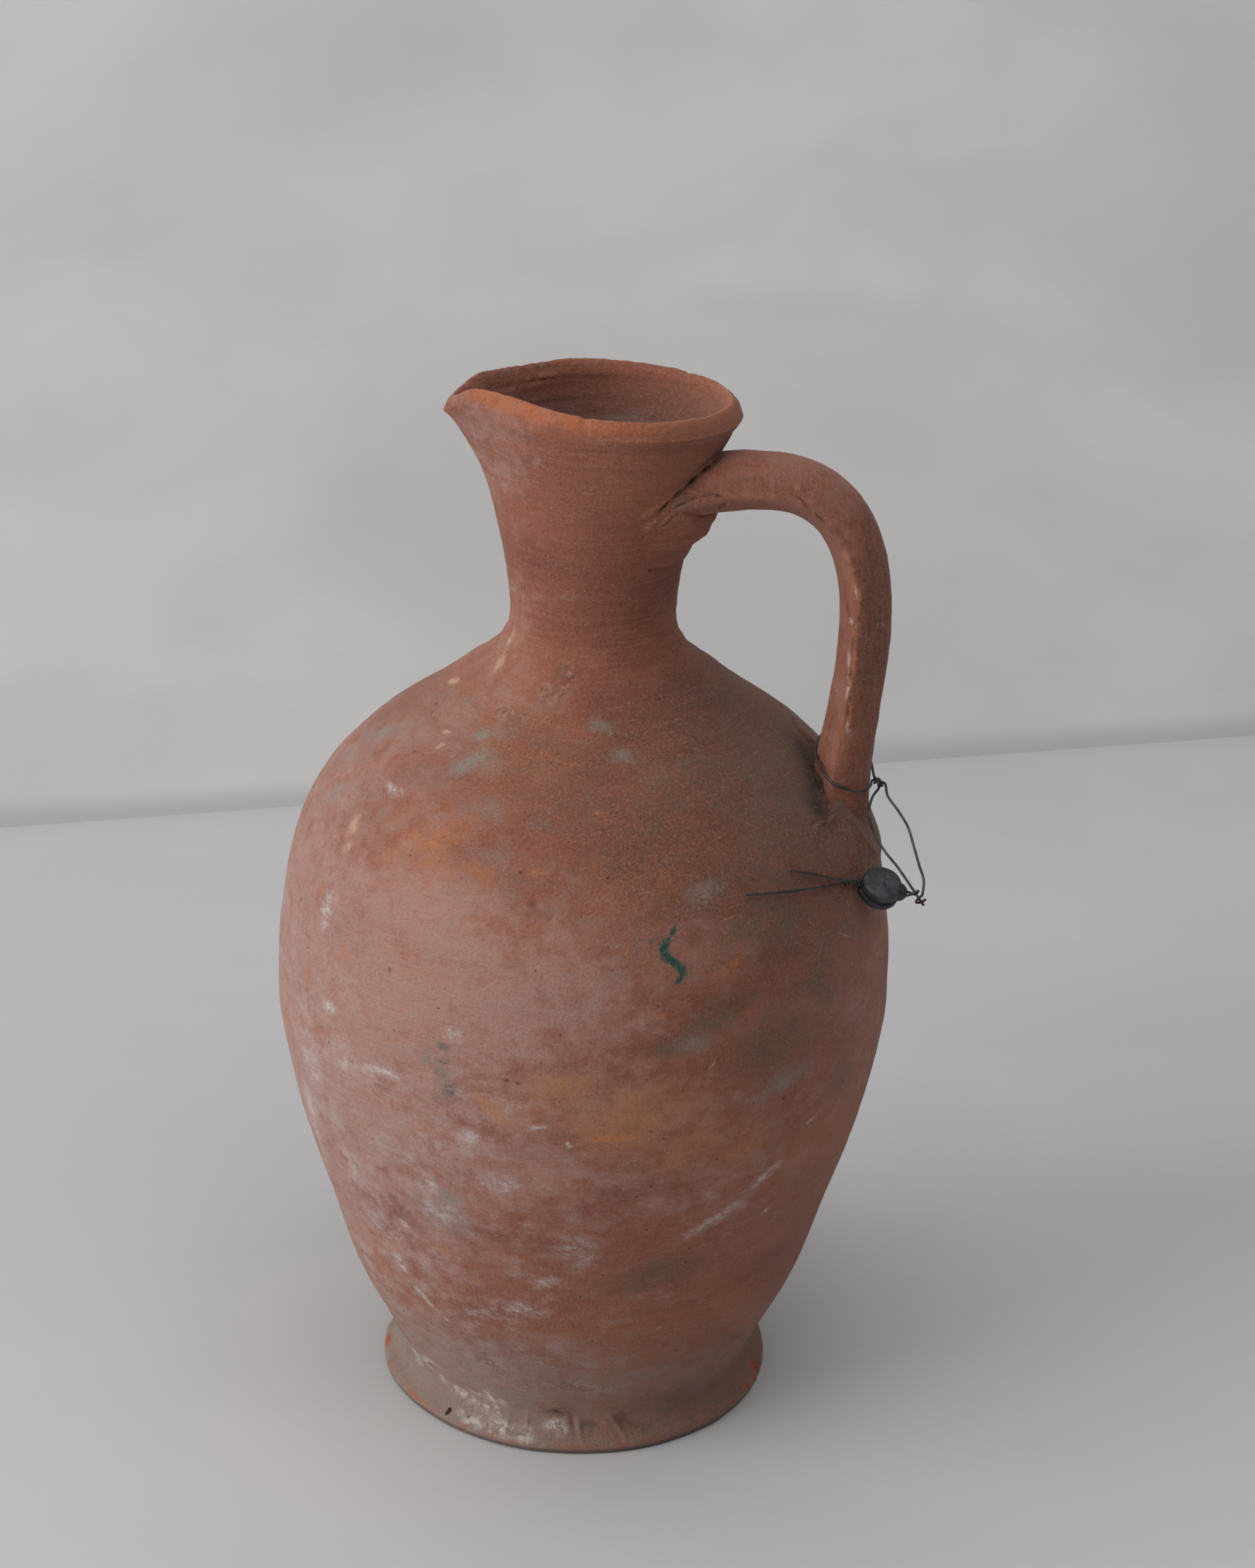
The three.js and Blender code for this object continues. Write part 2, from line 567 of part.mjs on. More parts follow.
// A half turn of wire, loose round another wire at the middle
function hookRound(middle, forwards, sideways) {
  return [-90, -45, 0, 45, 90].map((degrees) => {
    const angle = THREE.MathUtils.degToRad(degrees);
    return middle.clone()
      .addScaledVector(forwards, HOOK_RADIUS * Math.cos(angle))
      .addScaledVector(sideways, HOOK_RADIUS * Math.sin(angle));
  });
}

// The pendant: one wire through the eye, its two legs closed by a wrap at the bottom
function makePendant() {
  const across = new THREE.Vector3().subVectors(PENDANT_RIGHT.at(-1), HOOK);
  const right = across.projectOnPlane(legWay).normalize();
  const front = new THREE.Vector3().crossVectors(legWay, right);
  const steps = Math.round(12 * WRAP_TURNS);
  const wrap = Array.from({ length: steps + 1 }, (_, i) => {
    const angle = WRAP_PHASE + (2 * Math.PI * WRAP_TURNS * i) / steps;
    return HOOK.clone()
      .addScaledVector(legWay, WRAP_START + (WRAP_LENGTH * i) / steps)
      .addScaledVector(right, WRAP_RADIUS * Math.cos(angle))
      .addScaledVector(front, WRAP_RADIUS * Math.sin(angle));
  });
  const end = HOOK.clone().addScaledVector(legWay, PENDANT_TAIL);
  const bend = hookRound(eyeFoot, eyeAxis.clone().negate(), eyeNormal);
  const line = smooth([end, ...PENDANT_LEFT.slice().reverse(), ...bend, ...PENDANT_RIGHT, ...wrap], 110);
  console.log(`pendant_wire: least gap to itself ${leastGap(line, WIRE_RADIUS).toFixed(2)} mm`);
  return tube(line, WIRE_RADIUS, WIRE_SIDES);
}

// The seal's own axes: face looks up and towards -Y, along runs from the tails to the pendant
const seat = onShoulder(SEAL_PLACE);

function leaning({ normal, up, side }, [outwards, upwards, sideways]) {
  return new THREE.Vector3()
    .addScaledVector(normal, outwards)
    .addScaledVector(up, upwards)
    .addScaledVector(side, sideways);
}

const sealFace = leaning(seat, SEAL_FACE).normalize();
const sealAlong = leaning(seat, SEAL_ALONG).projectOnPlane(sealFace).normalize();
const sealSide = new THREE.Vector3().crossVectors(sealFace, sealAlong);

function sealPoint(along, side, face) {
  return seat.at.clone()
    .addScaledVector(sealAlong, along)
    .addScaledVector(sealSide, side)
    .addScaledVector(sealFace, face);
}

// Two pressed lead cheeks with a slot between them, a lump where they are joined, and the wires' way
function makeSeal() {
  const half = SEAL_THICKNESS / 2;
  const cheek = (sign, spread) => [
    [SEAL_RADIUS - SEAL_SLOT_DEPTH, sign * 0.3 * SEAL_SLOT],
    [SEAL_RADIUS - 0.1 * SEAL_EDGE, sign * 0.8 * SEAL_SLOT],
    [SEAL_RADIUS - spread, sign * (half - SEAL_EDGE)],
    [SEAL_RADIUS - spread - 0.4 * SEAL_EDGE, sign * (half - 0.4 * SEAL_EDGE)],
    [SEAL_RADIUS - spread - 1.5 * SEAL_EDGE, sign * half],
  ];
  const outlineOf = [...cheek(-1, 0).reverse(), ...cheek(1, 0.25 * SEAL_EDGE)];
  const rings = outlineOf.map(([radius, face]) => Array.from({ length: SEAL_SIDES }, (_, j) => {
    const angle = (2 * Math.PI * j) / SEAL_SIDES;
    return sealPoint(radius * Math.cos(angle), radius * Math.sin(angle), face);
  }));
  const root = SEAL_RADIUS - SEAL_SLOT_DEPTH;
  const lump = [[-0.3, 1], [0.1, 0.97], [0.45, 0.9], [0.75, 0.78], [1, 0.6]].map(([reach, size]) => (
    Array.from({ length: 12 }, (_, j) => {
      const angle = (2 * Math.PI * j) / 12;
      return sealPoint(
        root + reach * (SEAL_LUMP + SEAL_SLOT_DEPTH),
        size * SEAL_LUMP_WIDTH * Math.cos(angle),
        size * SEAL_LUMP_HEIGHT * Math.sin(angle),
      );
    })
  ));
  const lane = TWIST_RADIUS + WIRE_RADIUS + SEAL_BORE_CLEARANCE;
  const low = WIRE_RADIUS + SEAL_BORE_CLEARANCE;
  const bore = [-SEAL_RADIUS - CLEARANCE, SEAL_RADIUS + SEAL_LUMP + CLEARANCE].map((along) => [
    sealPoint(along, -lane, -low),
    sealPoint(along, lane, -low),
    sealPoint(along, lane, low),
    sealPoint(along, -lane, low),
  ]);
  return toGeometry(toSolid(loft(rings)).add(toSolid(loft(lump))).subtract(toSolid(loft(bore))));
}

function twistRow(line, phase, steps) {
  const length = line.getLength();
  return Array.from({ length: steps + 1 }, (_, i) => {
    const share = i / steps;
    const along = line.getTangentAt(share);
    const side = sealFace.clone().cross(along).normalize();
    const up = new THREE.Vector3().crossVectors(along, side);
    const angle = phase + (2 * Math.PI * length * share) / TWIST_PITCH;
    return line.getPointAt(share)
      .addScaledVector(side, TWIST_RADIUS * Math.cos(angle))
      .addScaledVector(up, TWIST_RADIUS * Math.sin(angle));
  });
}

// The seal's wire is doubled: hooked on the pendant's left leg, through the seal, twisted, and parted
function makeSealWire() {
  const exit = sealPoint(-SEAL_RADIUS, 0, 0);
  const straight = sealPoint(-SEAL_RADIUS - TWIST_PITCH / 5, 0, 0);
  const twist = new THREE.CatmullRomCurve3([exit, straight, TWIST_END]);
  const mouth = sealPoint(SEAL_RADIUS + SEAL_LUMP, 0, 0);
  const forwards = new THREE.Vector3().subVectors(HOOK, mouth).projectOnPlane(legWay).normalize();
  const sideways = new THREE.Vector3().crossVectors(legWay, forwards);
  if (sideways.dot(sealSide) < 0) sideways.negate();
  const lane = (side) => [sealPoint(SEAL_RADIUS + SEAL_LUMP, side, 0), sealPoint(0, side, 0)];
  const first = [...twistRow(twist, 0, 16).reverse(), ...lane(-TWIST_RADIUS).reverse()];
  const last = [...lane(TWIST_RADIUS), ...twistRow(twist, Math.PI, 16)];
  const bend = hookRound(HOOK, forwards, sideways);
  const line = smooth([...TAIL_LOWER.slice().reverse(), ...first, ...bend, ...last, ...TAIL_UPPER], 150);
  console.log(`seal_wire: least gap to itself ${leastGap(line, WIRE_RADIUS).toFixed(2)} mm`);
  return tube(line, WIRE_RADIUS, WIRE_SIDES);
}

const clay = { color: 0x9a5f4a, roughness: 0.9, metalness: 0.0 };
const iron = { color: 0x4a4a48, roughness: 0.5, metalness: 0.8 };
const lead = { color: 0x45474b, roughness: 0.6, metalness: 0.6 };

function part(name, geometry, look) {
  const mesh = new THREE.Mesh(geometry, new THREE.MeshStandardMaterial(look));
  mesh.name = name;
  return mesh;
}

const group = new THREE.Group();
group.add(
  part('foot', makeFoot(), { ...clay, color: 0x8d6a58 }),
  part('body_shell', makeBody(), clay),
  part('neck_and_spout', makeNeck(), { ...clay, color: 0xa5664c }),
  part('handle', makeHandle(), { ...clay, color: 0x945a47 }),
  part('upper_handle_lute', makeUpperLute(), clay),
  part('lower_handle_lute', makeLowerLute(), clay),
  part('collar_wire', makeCollar(), iron),
  part('pendant_wire', makePendant(), iron),
  part('lead_seal', makeSeal(), lead),
  part('seal_wire', makeSealWire(), iron),
);

export default group;
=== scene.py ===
import math

import bpy
import numpy as np
from mathutils import Matrix, Vector


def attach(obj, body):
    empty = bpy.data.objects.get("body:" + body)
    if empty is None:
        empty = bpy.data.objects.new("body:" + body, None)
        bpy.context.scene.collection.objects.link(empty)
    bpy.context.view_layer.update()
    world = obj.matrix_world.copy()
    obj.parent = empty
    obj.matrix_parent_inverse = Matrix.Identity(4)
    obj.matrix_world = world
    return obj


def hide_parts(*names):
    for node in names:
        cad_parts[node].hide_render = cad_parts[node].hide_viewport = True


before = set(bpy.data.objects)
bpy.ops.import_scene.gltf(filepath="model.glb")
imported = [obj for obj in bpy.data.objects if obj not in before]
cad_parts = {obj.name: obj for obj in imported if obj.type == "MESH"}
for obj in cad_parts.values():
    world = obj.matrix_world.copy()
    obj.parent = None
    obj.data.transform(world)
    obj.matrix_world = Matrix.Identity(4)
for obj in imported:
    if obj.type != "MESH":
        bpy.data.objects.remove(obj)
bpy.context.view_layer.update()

# The looks of a terracotta jug with a wired lead seal
# Lengths in the shapes are millimetres, and become metres when a mesh is made
MM = 0.001

# The vessel's sizes
FOOT_HEIGHT = 12.0
WAIST_RADIUS, BELLY_RADIUS, BELLY_HEIGHT = 57.5, 96.4, 146.0
THROAT_RADIUS, THROAT_HEIGHT, SEAM_HEIGHT = 25.3, 265.0, 248.0
LIP_RADIUS, RIM_HEIGHT, LIP_DROP = 42.8, 331.0, 5.0
LIP_HEIGHT = RIM_HEIGHT - LIP_DROP
BODY_WALL, NECK_WALL, LIP_WALL = 6.0, 5.5, 6.0
MOUTH_RADIUS, MOUTH_SHIFT, SPOUT_REACH = 36.9, 5.9, 45.8
SPOUT_HALF_ANGLE, SPOUT_TIP_ROUNDING = math.radians(46), 0.05
MOUTH_EASING = 0.5  # how softly the beak's sides run into the round of the mouth
RIM_TILT, SPOUT_DIP, SPOUT_DIP_WIDTH = 1.9, 4.7, math.radians(8)

# The handle's sizes
HANDLE_TURN, HANDLE_SIDE_SHIFT = math.radians(-4.8), -10.2
HANDLE_ROOT_HEIGHT, HANDLE_CROWN_REACH, HANDLE_CROWN_HEIGHT = 302.5, 50.5, 308.5
HANDLE_REACH, HANDLE_ELBOW_HEIGHT, HANDLE_ARCH_POWER = 81.9, 264.05, 2.4
HANDLE_FOOT_REACH, HANDLE_FOOT_HEIGHT = 77.4, 209.07
HANDLE_THICKNESS, HANDLE_WIDTH = 15.6, 21.0
HANDLE_ROOT_FLARE, HANDLE_FOOT_FLARE, HANDLE_CORNER_POWER = 2.4, 5.2, 0.88
HANDLE_RIDGE, HANDLE_RIDGE_ANGLE, HANDLE_RIDGE_WIDTH = 0.9, math.radians(108), math.radians(15)
HANDLE_BURIED = 2.4  # how deep its two ends reach into the vessel's wall

# The wires and the seal
WIRE_RADIUS, WIRE_SIDES, WIRE_WAVER = 0.4, 12, 0.02
COLLAR_HEIGHT = 220.545
STRAND_OFF, TWIST_PITCH = 0.72, 5.6  # a strand's distance from the twist's axis, and one full turn
SEAL_RADIUS, SEAL_THICKNESS, SEAL_SLOT, SEAL_LUMP = 6.2, 6.4, 1.0, 2.2


# Noise: smooth values between -1 and 1 at points in space
def _corner(ix, iy, iz, seed):
    mask = np.uint32(0xFFFFFFFF)
    h = ix.astype(np.uint32) * np.uint32(374761393)
    h = h + iy.astype(np.uint32) * np.uint32(668265263)
    h = h + iz.astype(np.uint32) * np.uint32(2246822519)
    h = (h + np.uint32((seed * 1274126177) & 0xFFFFFFFF)) & mask
    h = (h ^ (h >> np.uint32(13))) * np.uint32(1274126177)
    h = h ^ (h >> np.uint32(16))
    return h.astype(np.float64) / 2147483647.5 - 1.0


def noise(p, size, seed):
    """Smooth noise of one size in millimetres. size may be a number or three."""
    q = np.asarray(p, float) / np.asarray(size, float)
    base = np.floor(q).astype(np.int64)
    f = q - base
    f = f * f * f * (f * (f * 6 - 15) + 10)
    total = 0.0
    for dx in (0, 1):
        wx = f[..., 0] if dx else 1 - f[..., 0]
        for dy in (0, 1):
            wy = f[..., 1] if dy else 1 - f[..., 1]
            for dz in (0, 1):
                wz = f[..., 2] if dz else 1 - f[..., 2]
                corner = _corner(base[..., 0] + dx, base[..., 1] + dy, base[..., 2] + dz, seed)
                total = total + wx * wy * wz * corner
    return total


def fractal(p, size, seed, octaves=4, keep=0.5):
    """Noise of several sizes, each half the one before and weaker."""
    total, amplitude, whole = 0.0, 1.0, 0.0
    for k in range(octaves):
        total = total + amplitude * noise(p, np.asarray(size, float) / 2**k, seed + 17 * k)
        whole += amplitude
        amplitude *= keep
    return total / whole


def step(low, high, x):
    """A soft step from 0 at low to 1 at high, whichever of the two is larger."""
    t = np.clip((x - low) / (high - low), 0, 1)
    return t * t * (3 - 2 * t)


def unit(v):
    v = np.asarray(v, float)
    return v / np.linalg.norm(v)


# The vessel's outline, as the thrown wall has it
def _shares(rows, r0, z0, r1, z1):
    """Points between two (radius, height) places, given as shares of the rise and the spread."""
    return [(r0 + spread * (r1 - r0), z0 + rise * (z1 - z0)) for rise, spread in rows]


LOWER_BODY = [(0.12, 0.2), (0.25, 0.41), (0.44, 0.61), (0.66, 0.84), (0.88, 0.985)]
SHOULDER = [
    (0.13, 0.01), (0.34, 0.07), (0.5, 0.197), (0.63, 0.4),
    (0.73, 0.63), (0.8, 0.78), (0.865, 0.92), (0.93, 0.99),
]
NECK = [(0.2, 0.09), (0.4, 0.23), (0.61, 0.415), (0.8, 0.67)]


def _between(start, end, leaving, arriving, share):
    """The curve between two points that has a given speed at each of them."""
    a = 2 * start - 2 * end + leaving + arriving
    b = -3 * start + 3 * end - 2 * leaving - arriving
    return a * share**3 + b * share**2 + leaving * share + start


def _spline(points, count):
    """A uniform Catmull-Rom line, as (radius, height) rows."""
    p = np.array(points, float)
    t = np.linspace(0, len(p) - 1, count)
    i = np.minimum(t.astype(int), len(p) - 2)
    w = (t - i)[:, None]
    p0, p1, p2, p3 = p[np.maximum(i - 1, 0)], p[i], p[i + 1], p[np.minimum(i + 2, len(p) - 1)]
    v0, v1 = (p2 - p0) / 2, (p3 - p1) / 2
    return _between(p1, p2, v0, v1, w)


_outline = _spline(
    [(WAIST_RADIUS, FOOT_HEIGHT)]
    + _shares(LOWER_BODY, WAIST_RADIUS, FOOT_HEIGHT, BELLY_RADIUS, BELLY_HEIGHT)
    + [(BELLY_RADIUS, BELLY_HEIGHT)]
    + _shares(SHOULDER, BELLY_RADIUS, BELLY_HEIGHT, THROAT_RADIUS, THROAT_HEIGHT)
    + [(THROAT_RADIUS, THROAT_HEIGHT)]
    + _shares(NECK, THROAT_RADIUS, THROAT_HEIGHT, LIP_RADIUS, LIP_HEIGHT)
    + [(LIP_RADIUS, LIP_HEIGHT)],
    6001,
)


def outer_radius(z):
    return np.interp(z, _outline[:, 1], _outline[:, 0])


def outer_slope(z):
    """How much the radius grows in one millimetre of height."""
    return outer_radius(np.asarray(z) + 0.5) - outer_radius(np.asarray(z) - 0.5)


def inner_radius(z, wall):
    """The radius of the inner face, for a wall measured square to its own slope."""
    return outer_radius(z) - wall * np.hypot(1, outer_slope(z))


def polar(radius, turn, z):
    """Points at a radius, an angle in radians and a height."""
    return np.stack(np.broadcast_arrays(radius * np.cos(turn), radius * np.sin(turn), z), -1)


# Meshes
def make_mesh(name, verts, faces, crease=38):
    mesh = bpy.data.meshes.new(name)
    verts = np.asarray(verts, float) * MM
    mesh.from_pydata(verts.tolist(), [], faces)
    mesh.shade_smooth()
    mesh.set_sharp_from_angle(angle=math.radians(crease))
    mesh.validate()
    piece = bpy.data.objects.new(name, mesh)
    bpy.context.scene.collection.objects.link(piece)
    return piece


def grid_faces(rows, columns, wrap_rows=False, wrap_columns=True, offset=0):
    i = np.arange(rows if wrap_rows else rows - 1)
    j = np.arange(columns if wrap_columns else columns - 1)
    i, j = np.meshgrid(i, j, indexing="ij")
    i2, j2 = (i + 1) % rows, (j + 1) % columns
    quads = np.stack([i * columns + j, i * columns + j2, i2 * columns + j2, i2 * columns + j], -1)
    return (quads.reshape(-1, 4) + offset).tolist()


def facing_out(verts, faces):
    """The faces, turned so that the closed skin they make faces outwards."""
    v = np.asarray(verts, float)
    volume = 0.0
    for size in (3, 4):
        rows = np.array([f for f in faces if len(f) == size])
        if not len(rows):
            continue
        for k in range(1, size - 1):
            a, b, c = v[rows[:, 0]], v[rows[:, k]], v[rows[:, k + 1]]
            volume += np.einsum("ij,ij->i", a, np.cross(b, c)).sum()
    return faces if volume > 0 else [f[::-1] for f in faces]


def ring_skin(name, rings, closed=False, crease=38):
    """A closed skin through rings of equal length. Its ends are capped unless it closes on itself."""
    rings = np.asarray(rings, float)
    rows, columns = rings.shape[:2]
    verts = rings.reshape(-1, 3)
    faces = grid_faces(rows, columns, wrap_rows=closed)
    if not closed:
        first, last = rings[0].mean(0), rings[-1].mean(0)
        verts = np.vstack([verts, first, last])
        hub, end = rows * columns, rows * columns + 1
        base = (rows - 1) * columns
        for j in range(columns):
            k = (j + 1) % columns
            faces.append([hub, k, j])
            faces.append([end, base + j, base + k])
    return make_mesh(name, verts, facing_out(verts, faces), crease)


def normals_of(grid):
    """Unit normals of a grid of points whose columns run round."""
    along = np.gradient(grid, axis=0)
    round_ = (np.roll(grid, -1, 1) - np.roll(grid, 1, 1)) / 2
    n = np.cross(round_, along)
    return n / np.maximum(np.linalg.norm(n, axis=-1, keepdims=True), 1e-9)


# Places on the wall, and marks round them
def wall_place(turn, height, radius=None):
    """A place on the wall, by its azimuth in degrees and its height."""
    a = math.radians(turn)
    r = float(outer_radius(height)) if radius is None else radius
    return np.array([r * math.cos(a), r * math.sin(a), height])


def line_distance(p, line):
    """How far the points lie from a broken line in space."""
    best = np.full(p.shape[:-1], 1e9)
    for a, b in zip(line, line[1:]):
        a, b = np.asarray(a, float), np.asarray(b, float)
        way = b - a
        share = np.clip(((p - a) @ way) / max(way @ way, 1e-9), 0, 1)
        best = np.minimum(best, np.linalg.norm(p - a - share[..., None] * way, axis=-1))
    return best


def line_mark(p, line, width):
    """1 on a broken line, dying out to both sides over about a width."""
    return np.exp(-((line_distance(p, line) / width) ** 2))


def leaned(x, y, lean):
    c, s = math.cos(math.radians(lean)), math.sin(math.radians(lean))
    return c * x + s * y, -s * x + c * y


# How the real clay departs from the true form, in millimetres along the wall's normal
def press(p, centre, wide, high, deep, lean=0.0, ragged=0.0):
    """A dent, where deep is below 0, or a crumb, where it is above, round a place on the wall."""
    move = np.zeros(p.shape[:-1])
    reach = 2.6 * max(wide, high)
    near = np.all(np.abs(p - centre) < reach, axis=-1)
    if not near.any():
        return move
    q = p[near] - centre
    out = np.array([centre[0], centre[1], 0]) / math.hypot(centre[0], centre[1])
    side = np.array([-out[1], out[0], 0])
    slope = float(outer_slope(centre[2])) if centre[2] > FOOT_HEIGHT else 0.0
    up = unit(out * slope + np.array([0, 0, 1]))
    x, y = leaned(q @ side, q @ up, lean)
    u, v = x / wide, y / high
    d = u * u + v * v
    if ragged:
        d = d * (1 + ragged * fractal(p[near], min(wide, high) * 1.3, 777, 3))
    move[near] = deep * np.exp(-np.maximum(d, 0) * 1.4)
    return move


def rough_patch(p, turn, height, wide, high, deep, lean=0.0):
    """A place where the wet skin was torn: coarse crumbs within an oval."""
    where = press(p, wall_place(turn, height), wide, high, 1.0, lean)
    return where * (deep * fractal(p, 3.1, 781, 3) + 0.5 * deep * np.abs(noise(p, 5.5, 783)))


def clay(p):
    """Dents, throwing rings, lumps and grain of the thrown wall at points in space."""
    z, a = p[..., 2], np.arctan2(p[..., 1], p[..., 0])
    slow = fractal(p, 58, 3, 3) * 0.5
    level = z + 0.9 * np.cos(a - 1.0) + 0.6 * noise(p, (40, 40, 14), 31)
    rings = np.sin(level * 2 * math.pi / 6.3) + 0.6 * np.sin(level * 2 * math.pi / 3.9 + 1.3)
    neck = step(222, 240, z) * (1 - 0.5 * step(262, 285, z))
    rings = rings * (0.02 + 0.075 * neck) * (0.6 + 0.6 * noise(p, (50, 50, 20), 41))
    wiped = noise(p, (46, 46, 5.5), 51) * 0.10 + noise(p, (22, 22, 2.6), 53) * 0.05
    lumps = fractal(p, 8, 61, 3) * 0.10
    grain = fractal(p, 1.7, 71, 2) * 0.04
    move = slow + rings + wiped + lumps + grain
    move -= 1.1 * line_mark(p, [wall_place(-100.2, 200.9), wall_place(-96.4, 197.6)], 0.85)
    move += press(p, wall_place(-97.2, 199.9), 1.9, 0.8, 0.5, -35)
    for turn, height, wide, high, deep, lean in DENTS:
        move += press(p, wall_place(turn, height), wide, high, deep, lean, 0.4)
    for patch in ROUGH_PATCHES:
        move += rough_patch(p, *patch)
    return move


# azimuth, height, width, height of the oval, depth, lean
DENTS = [
    (-124.8, 240, 0.9, 2.6, 0.45, 12), (-105.2, 246, 0.8, 4.5, 0.35, -8),
    (-104, 250.5, 3.2, 1, 0.3, 20), (-82.9, 113.8, 2.2, 1.1, -0.55, 5),
    (-83.6, 112.9, 1, 0.6, 0.35, 0), (-67.8, 148.5, 0.8, 3.8, -0.32, -14),
    (-131, 78, 2.2, 1.2, -0.4, 30), (-98, 66, 1.4, 1, -0.5, 0),
    (-119.5, 88, 1.4, 1.4, -0.4, 0), (-145.3, 119.6, 1.2, 1.8, -0.6, 12),
    (-60, 168, 1.6, 1, -0.35, 0), (-44, 150, 1.2, 1, -0.4, 0),
    (-88, 170, 1, 0.8, -0.35, 0), (-93.7, 231.5, 1.8, 1, -0.3, 0),
    (-53, 281.9, 0.7, 0.7, -0.5, 0), (-118, 262, 5, 0.7, -0.22, 6),
    (-80, 258.5, 7, 0.6, -0.2, 4), (-136, 120, 1.1, 1.1, -0.4, 0),
    (75, 180, 2.4, 1.2, -0.5, 20), (130, 120, 1.8, 1.4, -0.5, 0),
    (20, 90, 2, 1.2, -0.5, 10), (100, 215, 1.4, 2.2, -0.4, 0),
    (160, 200, 2.2, 1, 0.4, 30), (50, 140, 3, 1, -0.4, -20),
    (-62, 92, 7, 0.8, -0.3, 24), (-56, 104, 9, 0.7, -0.25, 28),
    (-52, 112, 7, 0.6, 0.25, 30),
]
ROUGH_PATCHES = [
    (-104.5, 250.5, 8, 7.5, 0.42), (-126, 240.5, 7, 3.6, 0.5), (-80.4, 238.2, 5, 2.6, 0.35),
    (-121, 100, 16, 14, 0.16), (-84, 128, 20, 9, 0.12), (-136, 52, 9, 7, 0.2),
    (80, 240, 9, 5, 0.4), (140, 150, 16, 10, 0.2),
]


# The body
BODY_ROUND, BODY_RISE = 900, 420


def make_body():
    share = np.linspace(0, 1, BODY_RISE)
    line = _outline[_outline[:, 1] <= SEAM_HEIGHT + 0.01]
    length = np.concatenate([[0], np.cumsum(np.hypot(*np.diff(line, axis=0).T))])
    z = np.interp(share * length[-1], length, line[:, 1])
    z[0], z[-1] = FOOT_HEIGHT, SEAM_HEIGHT
    turn = np.linspace(0, 2 * np.pi, BODY_ROUND, endpoint=False)
    zz, tt = np.meshgrid(z, turn, indexing="ij")
    grid = polar(outer_radius(zz), tt, zz)
    outer = grid + normals_of(grid) * clay(grid)[..., None]
    zz, tt = np.meshgrid(np.linspace(SEAM_HEIGHT, FOOT_HEIGHT, 60), turn, indexing="ij")
    inner = polar(inner_radius(zz, BODY_WALL), tt, zz)
    return ring_skin("jug_body", np.concatenate([outer, inner]), closed=True)


# The neck and its pinched mouth
NECK_ROUND = 720


def mouth_radius(away):
    """The lip's radius from above: a round a little off the axis, and a beak on one side."""
    offset = MOUTH_SHIFT * np.sin(away)
    round_ = np.sqrt(MOUTH_RADIUS**2 - offset**2) - MOUTH_SHIFT * np.cos(away)
    blunt = np.hypot(away, SPOUT_TIP_ROUNDING) - SPOUT_TIP_ROUNDING
    turned = np.minimum(SPOUT_HALF_ANGLE + blunt, math.pi / 2)
    beak = SPOUT_REACH * math.sin(SPOUT_HALF_ANGLE) / np.sin(turned)
    over = beak - round_
    return round_ + (over + np.hypot(over, MOUTH_EASING)) / 2


def rim_rise(away):
    """How much higher or lower than level the rim is, at an angle from the beak."""
    return RIM_TILT * np.cos(away) - SPOUT_DIP * np.exp(-((away / SPOUT_DIP_WIDTH) ** 2))


_neck_turn = np.linspace(0, 2 * np.pi, NECK_ROUND, endpoint=False)
NECK_AWAY = _neck_turn - 0.55 * np.sin(_neck_turn)


def neck_face(away, z):
    """The radius and height of the neck's outer face, away being the angle from the beak."""
    share = np.clip((z - THROAT_HEIGHT) / (LIP_HEIGHT - THROAT_HEIGHT), 0, 1)
    fold = np.where(away > math.pi, 2 * math.pi - away, away)
    change = mouth_radius(fold) - LIP_RADIUS
    radius = outer_radius(np.minimum(z, LIP_HEIGHT)) + change * np.where(change > 0, share**6, share**2)
    return radius, z + rim_rise(fold) * share**3


def neck_ring(z, depth):
    radius, height = neck_face(NECK_AWAY, z)
    return polar(radius - depth, math.pi + NECK_AWAY, height)


NECK_OVERLAP = 5.0  # the neck's skin runs on down over the body's, a hair proud of it


def neck_rings():
    """Rings up the outer face, over the rolled lip and down the inner face."""
    outer = [neck_ring(z, -0.015) for z in np.linspace(SEAM_HEIGHT - NECK_OVERLAP, LIP_HEIGHT, 190)]
    roll = [
        neck_ring(LIP_HEIGHT + LIP_DROP * math.sin(math.pi * t) ** 0.7, LIP_WALL * t)
        for t in np.linspace(0.02, 0.98, 30)
    ]

    def depth(z):
        seam = outer_radius(SEAM_HEIGHT) - inner_radius(SEAM_HEIGHT, BODY_WALL)
        if z < THROAT_HEIGHT:
            return np.interp(z, [SEAM_HEIGHT, THROAT_HEIGHT], [seam, NECK_WALL])
        return np.interp(z, [THROAT_HEIGHT, LIP_HEIGHT], [NECK_WALL, LIP_WALL])

    inner = [neck_ring(z, depth(z)) for z in np.linspace(LIP_HEIGHT, SEAM_HEIGHT - NECK_OVERLAP, 110)]
    return np.array(outer + roll + inner), len(outer), len(roll)


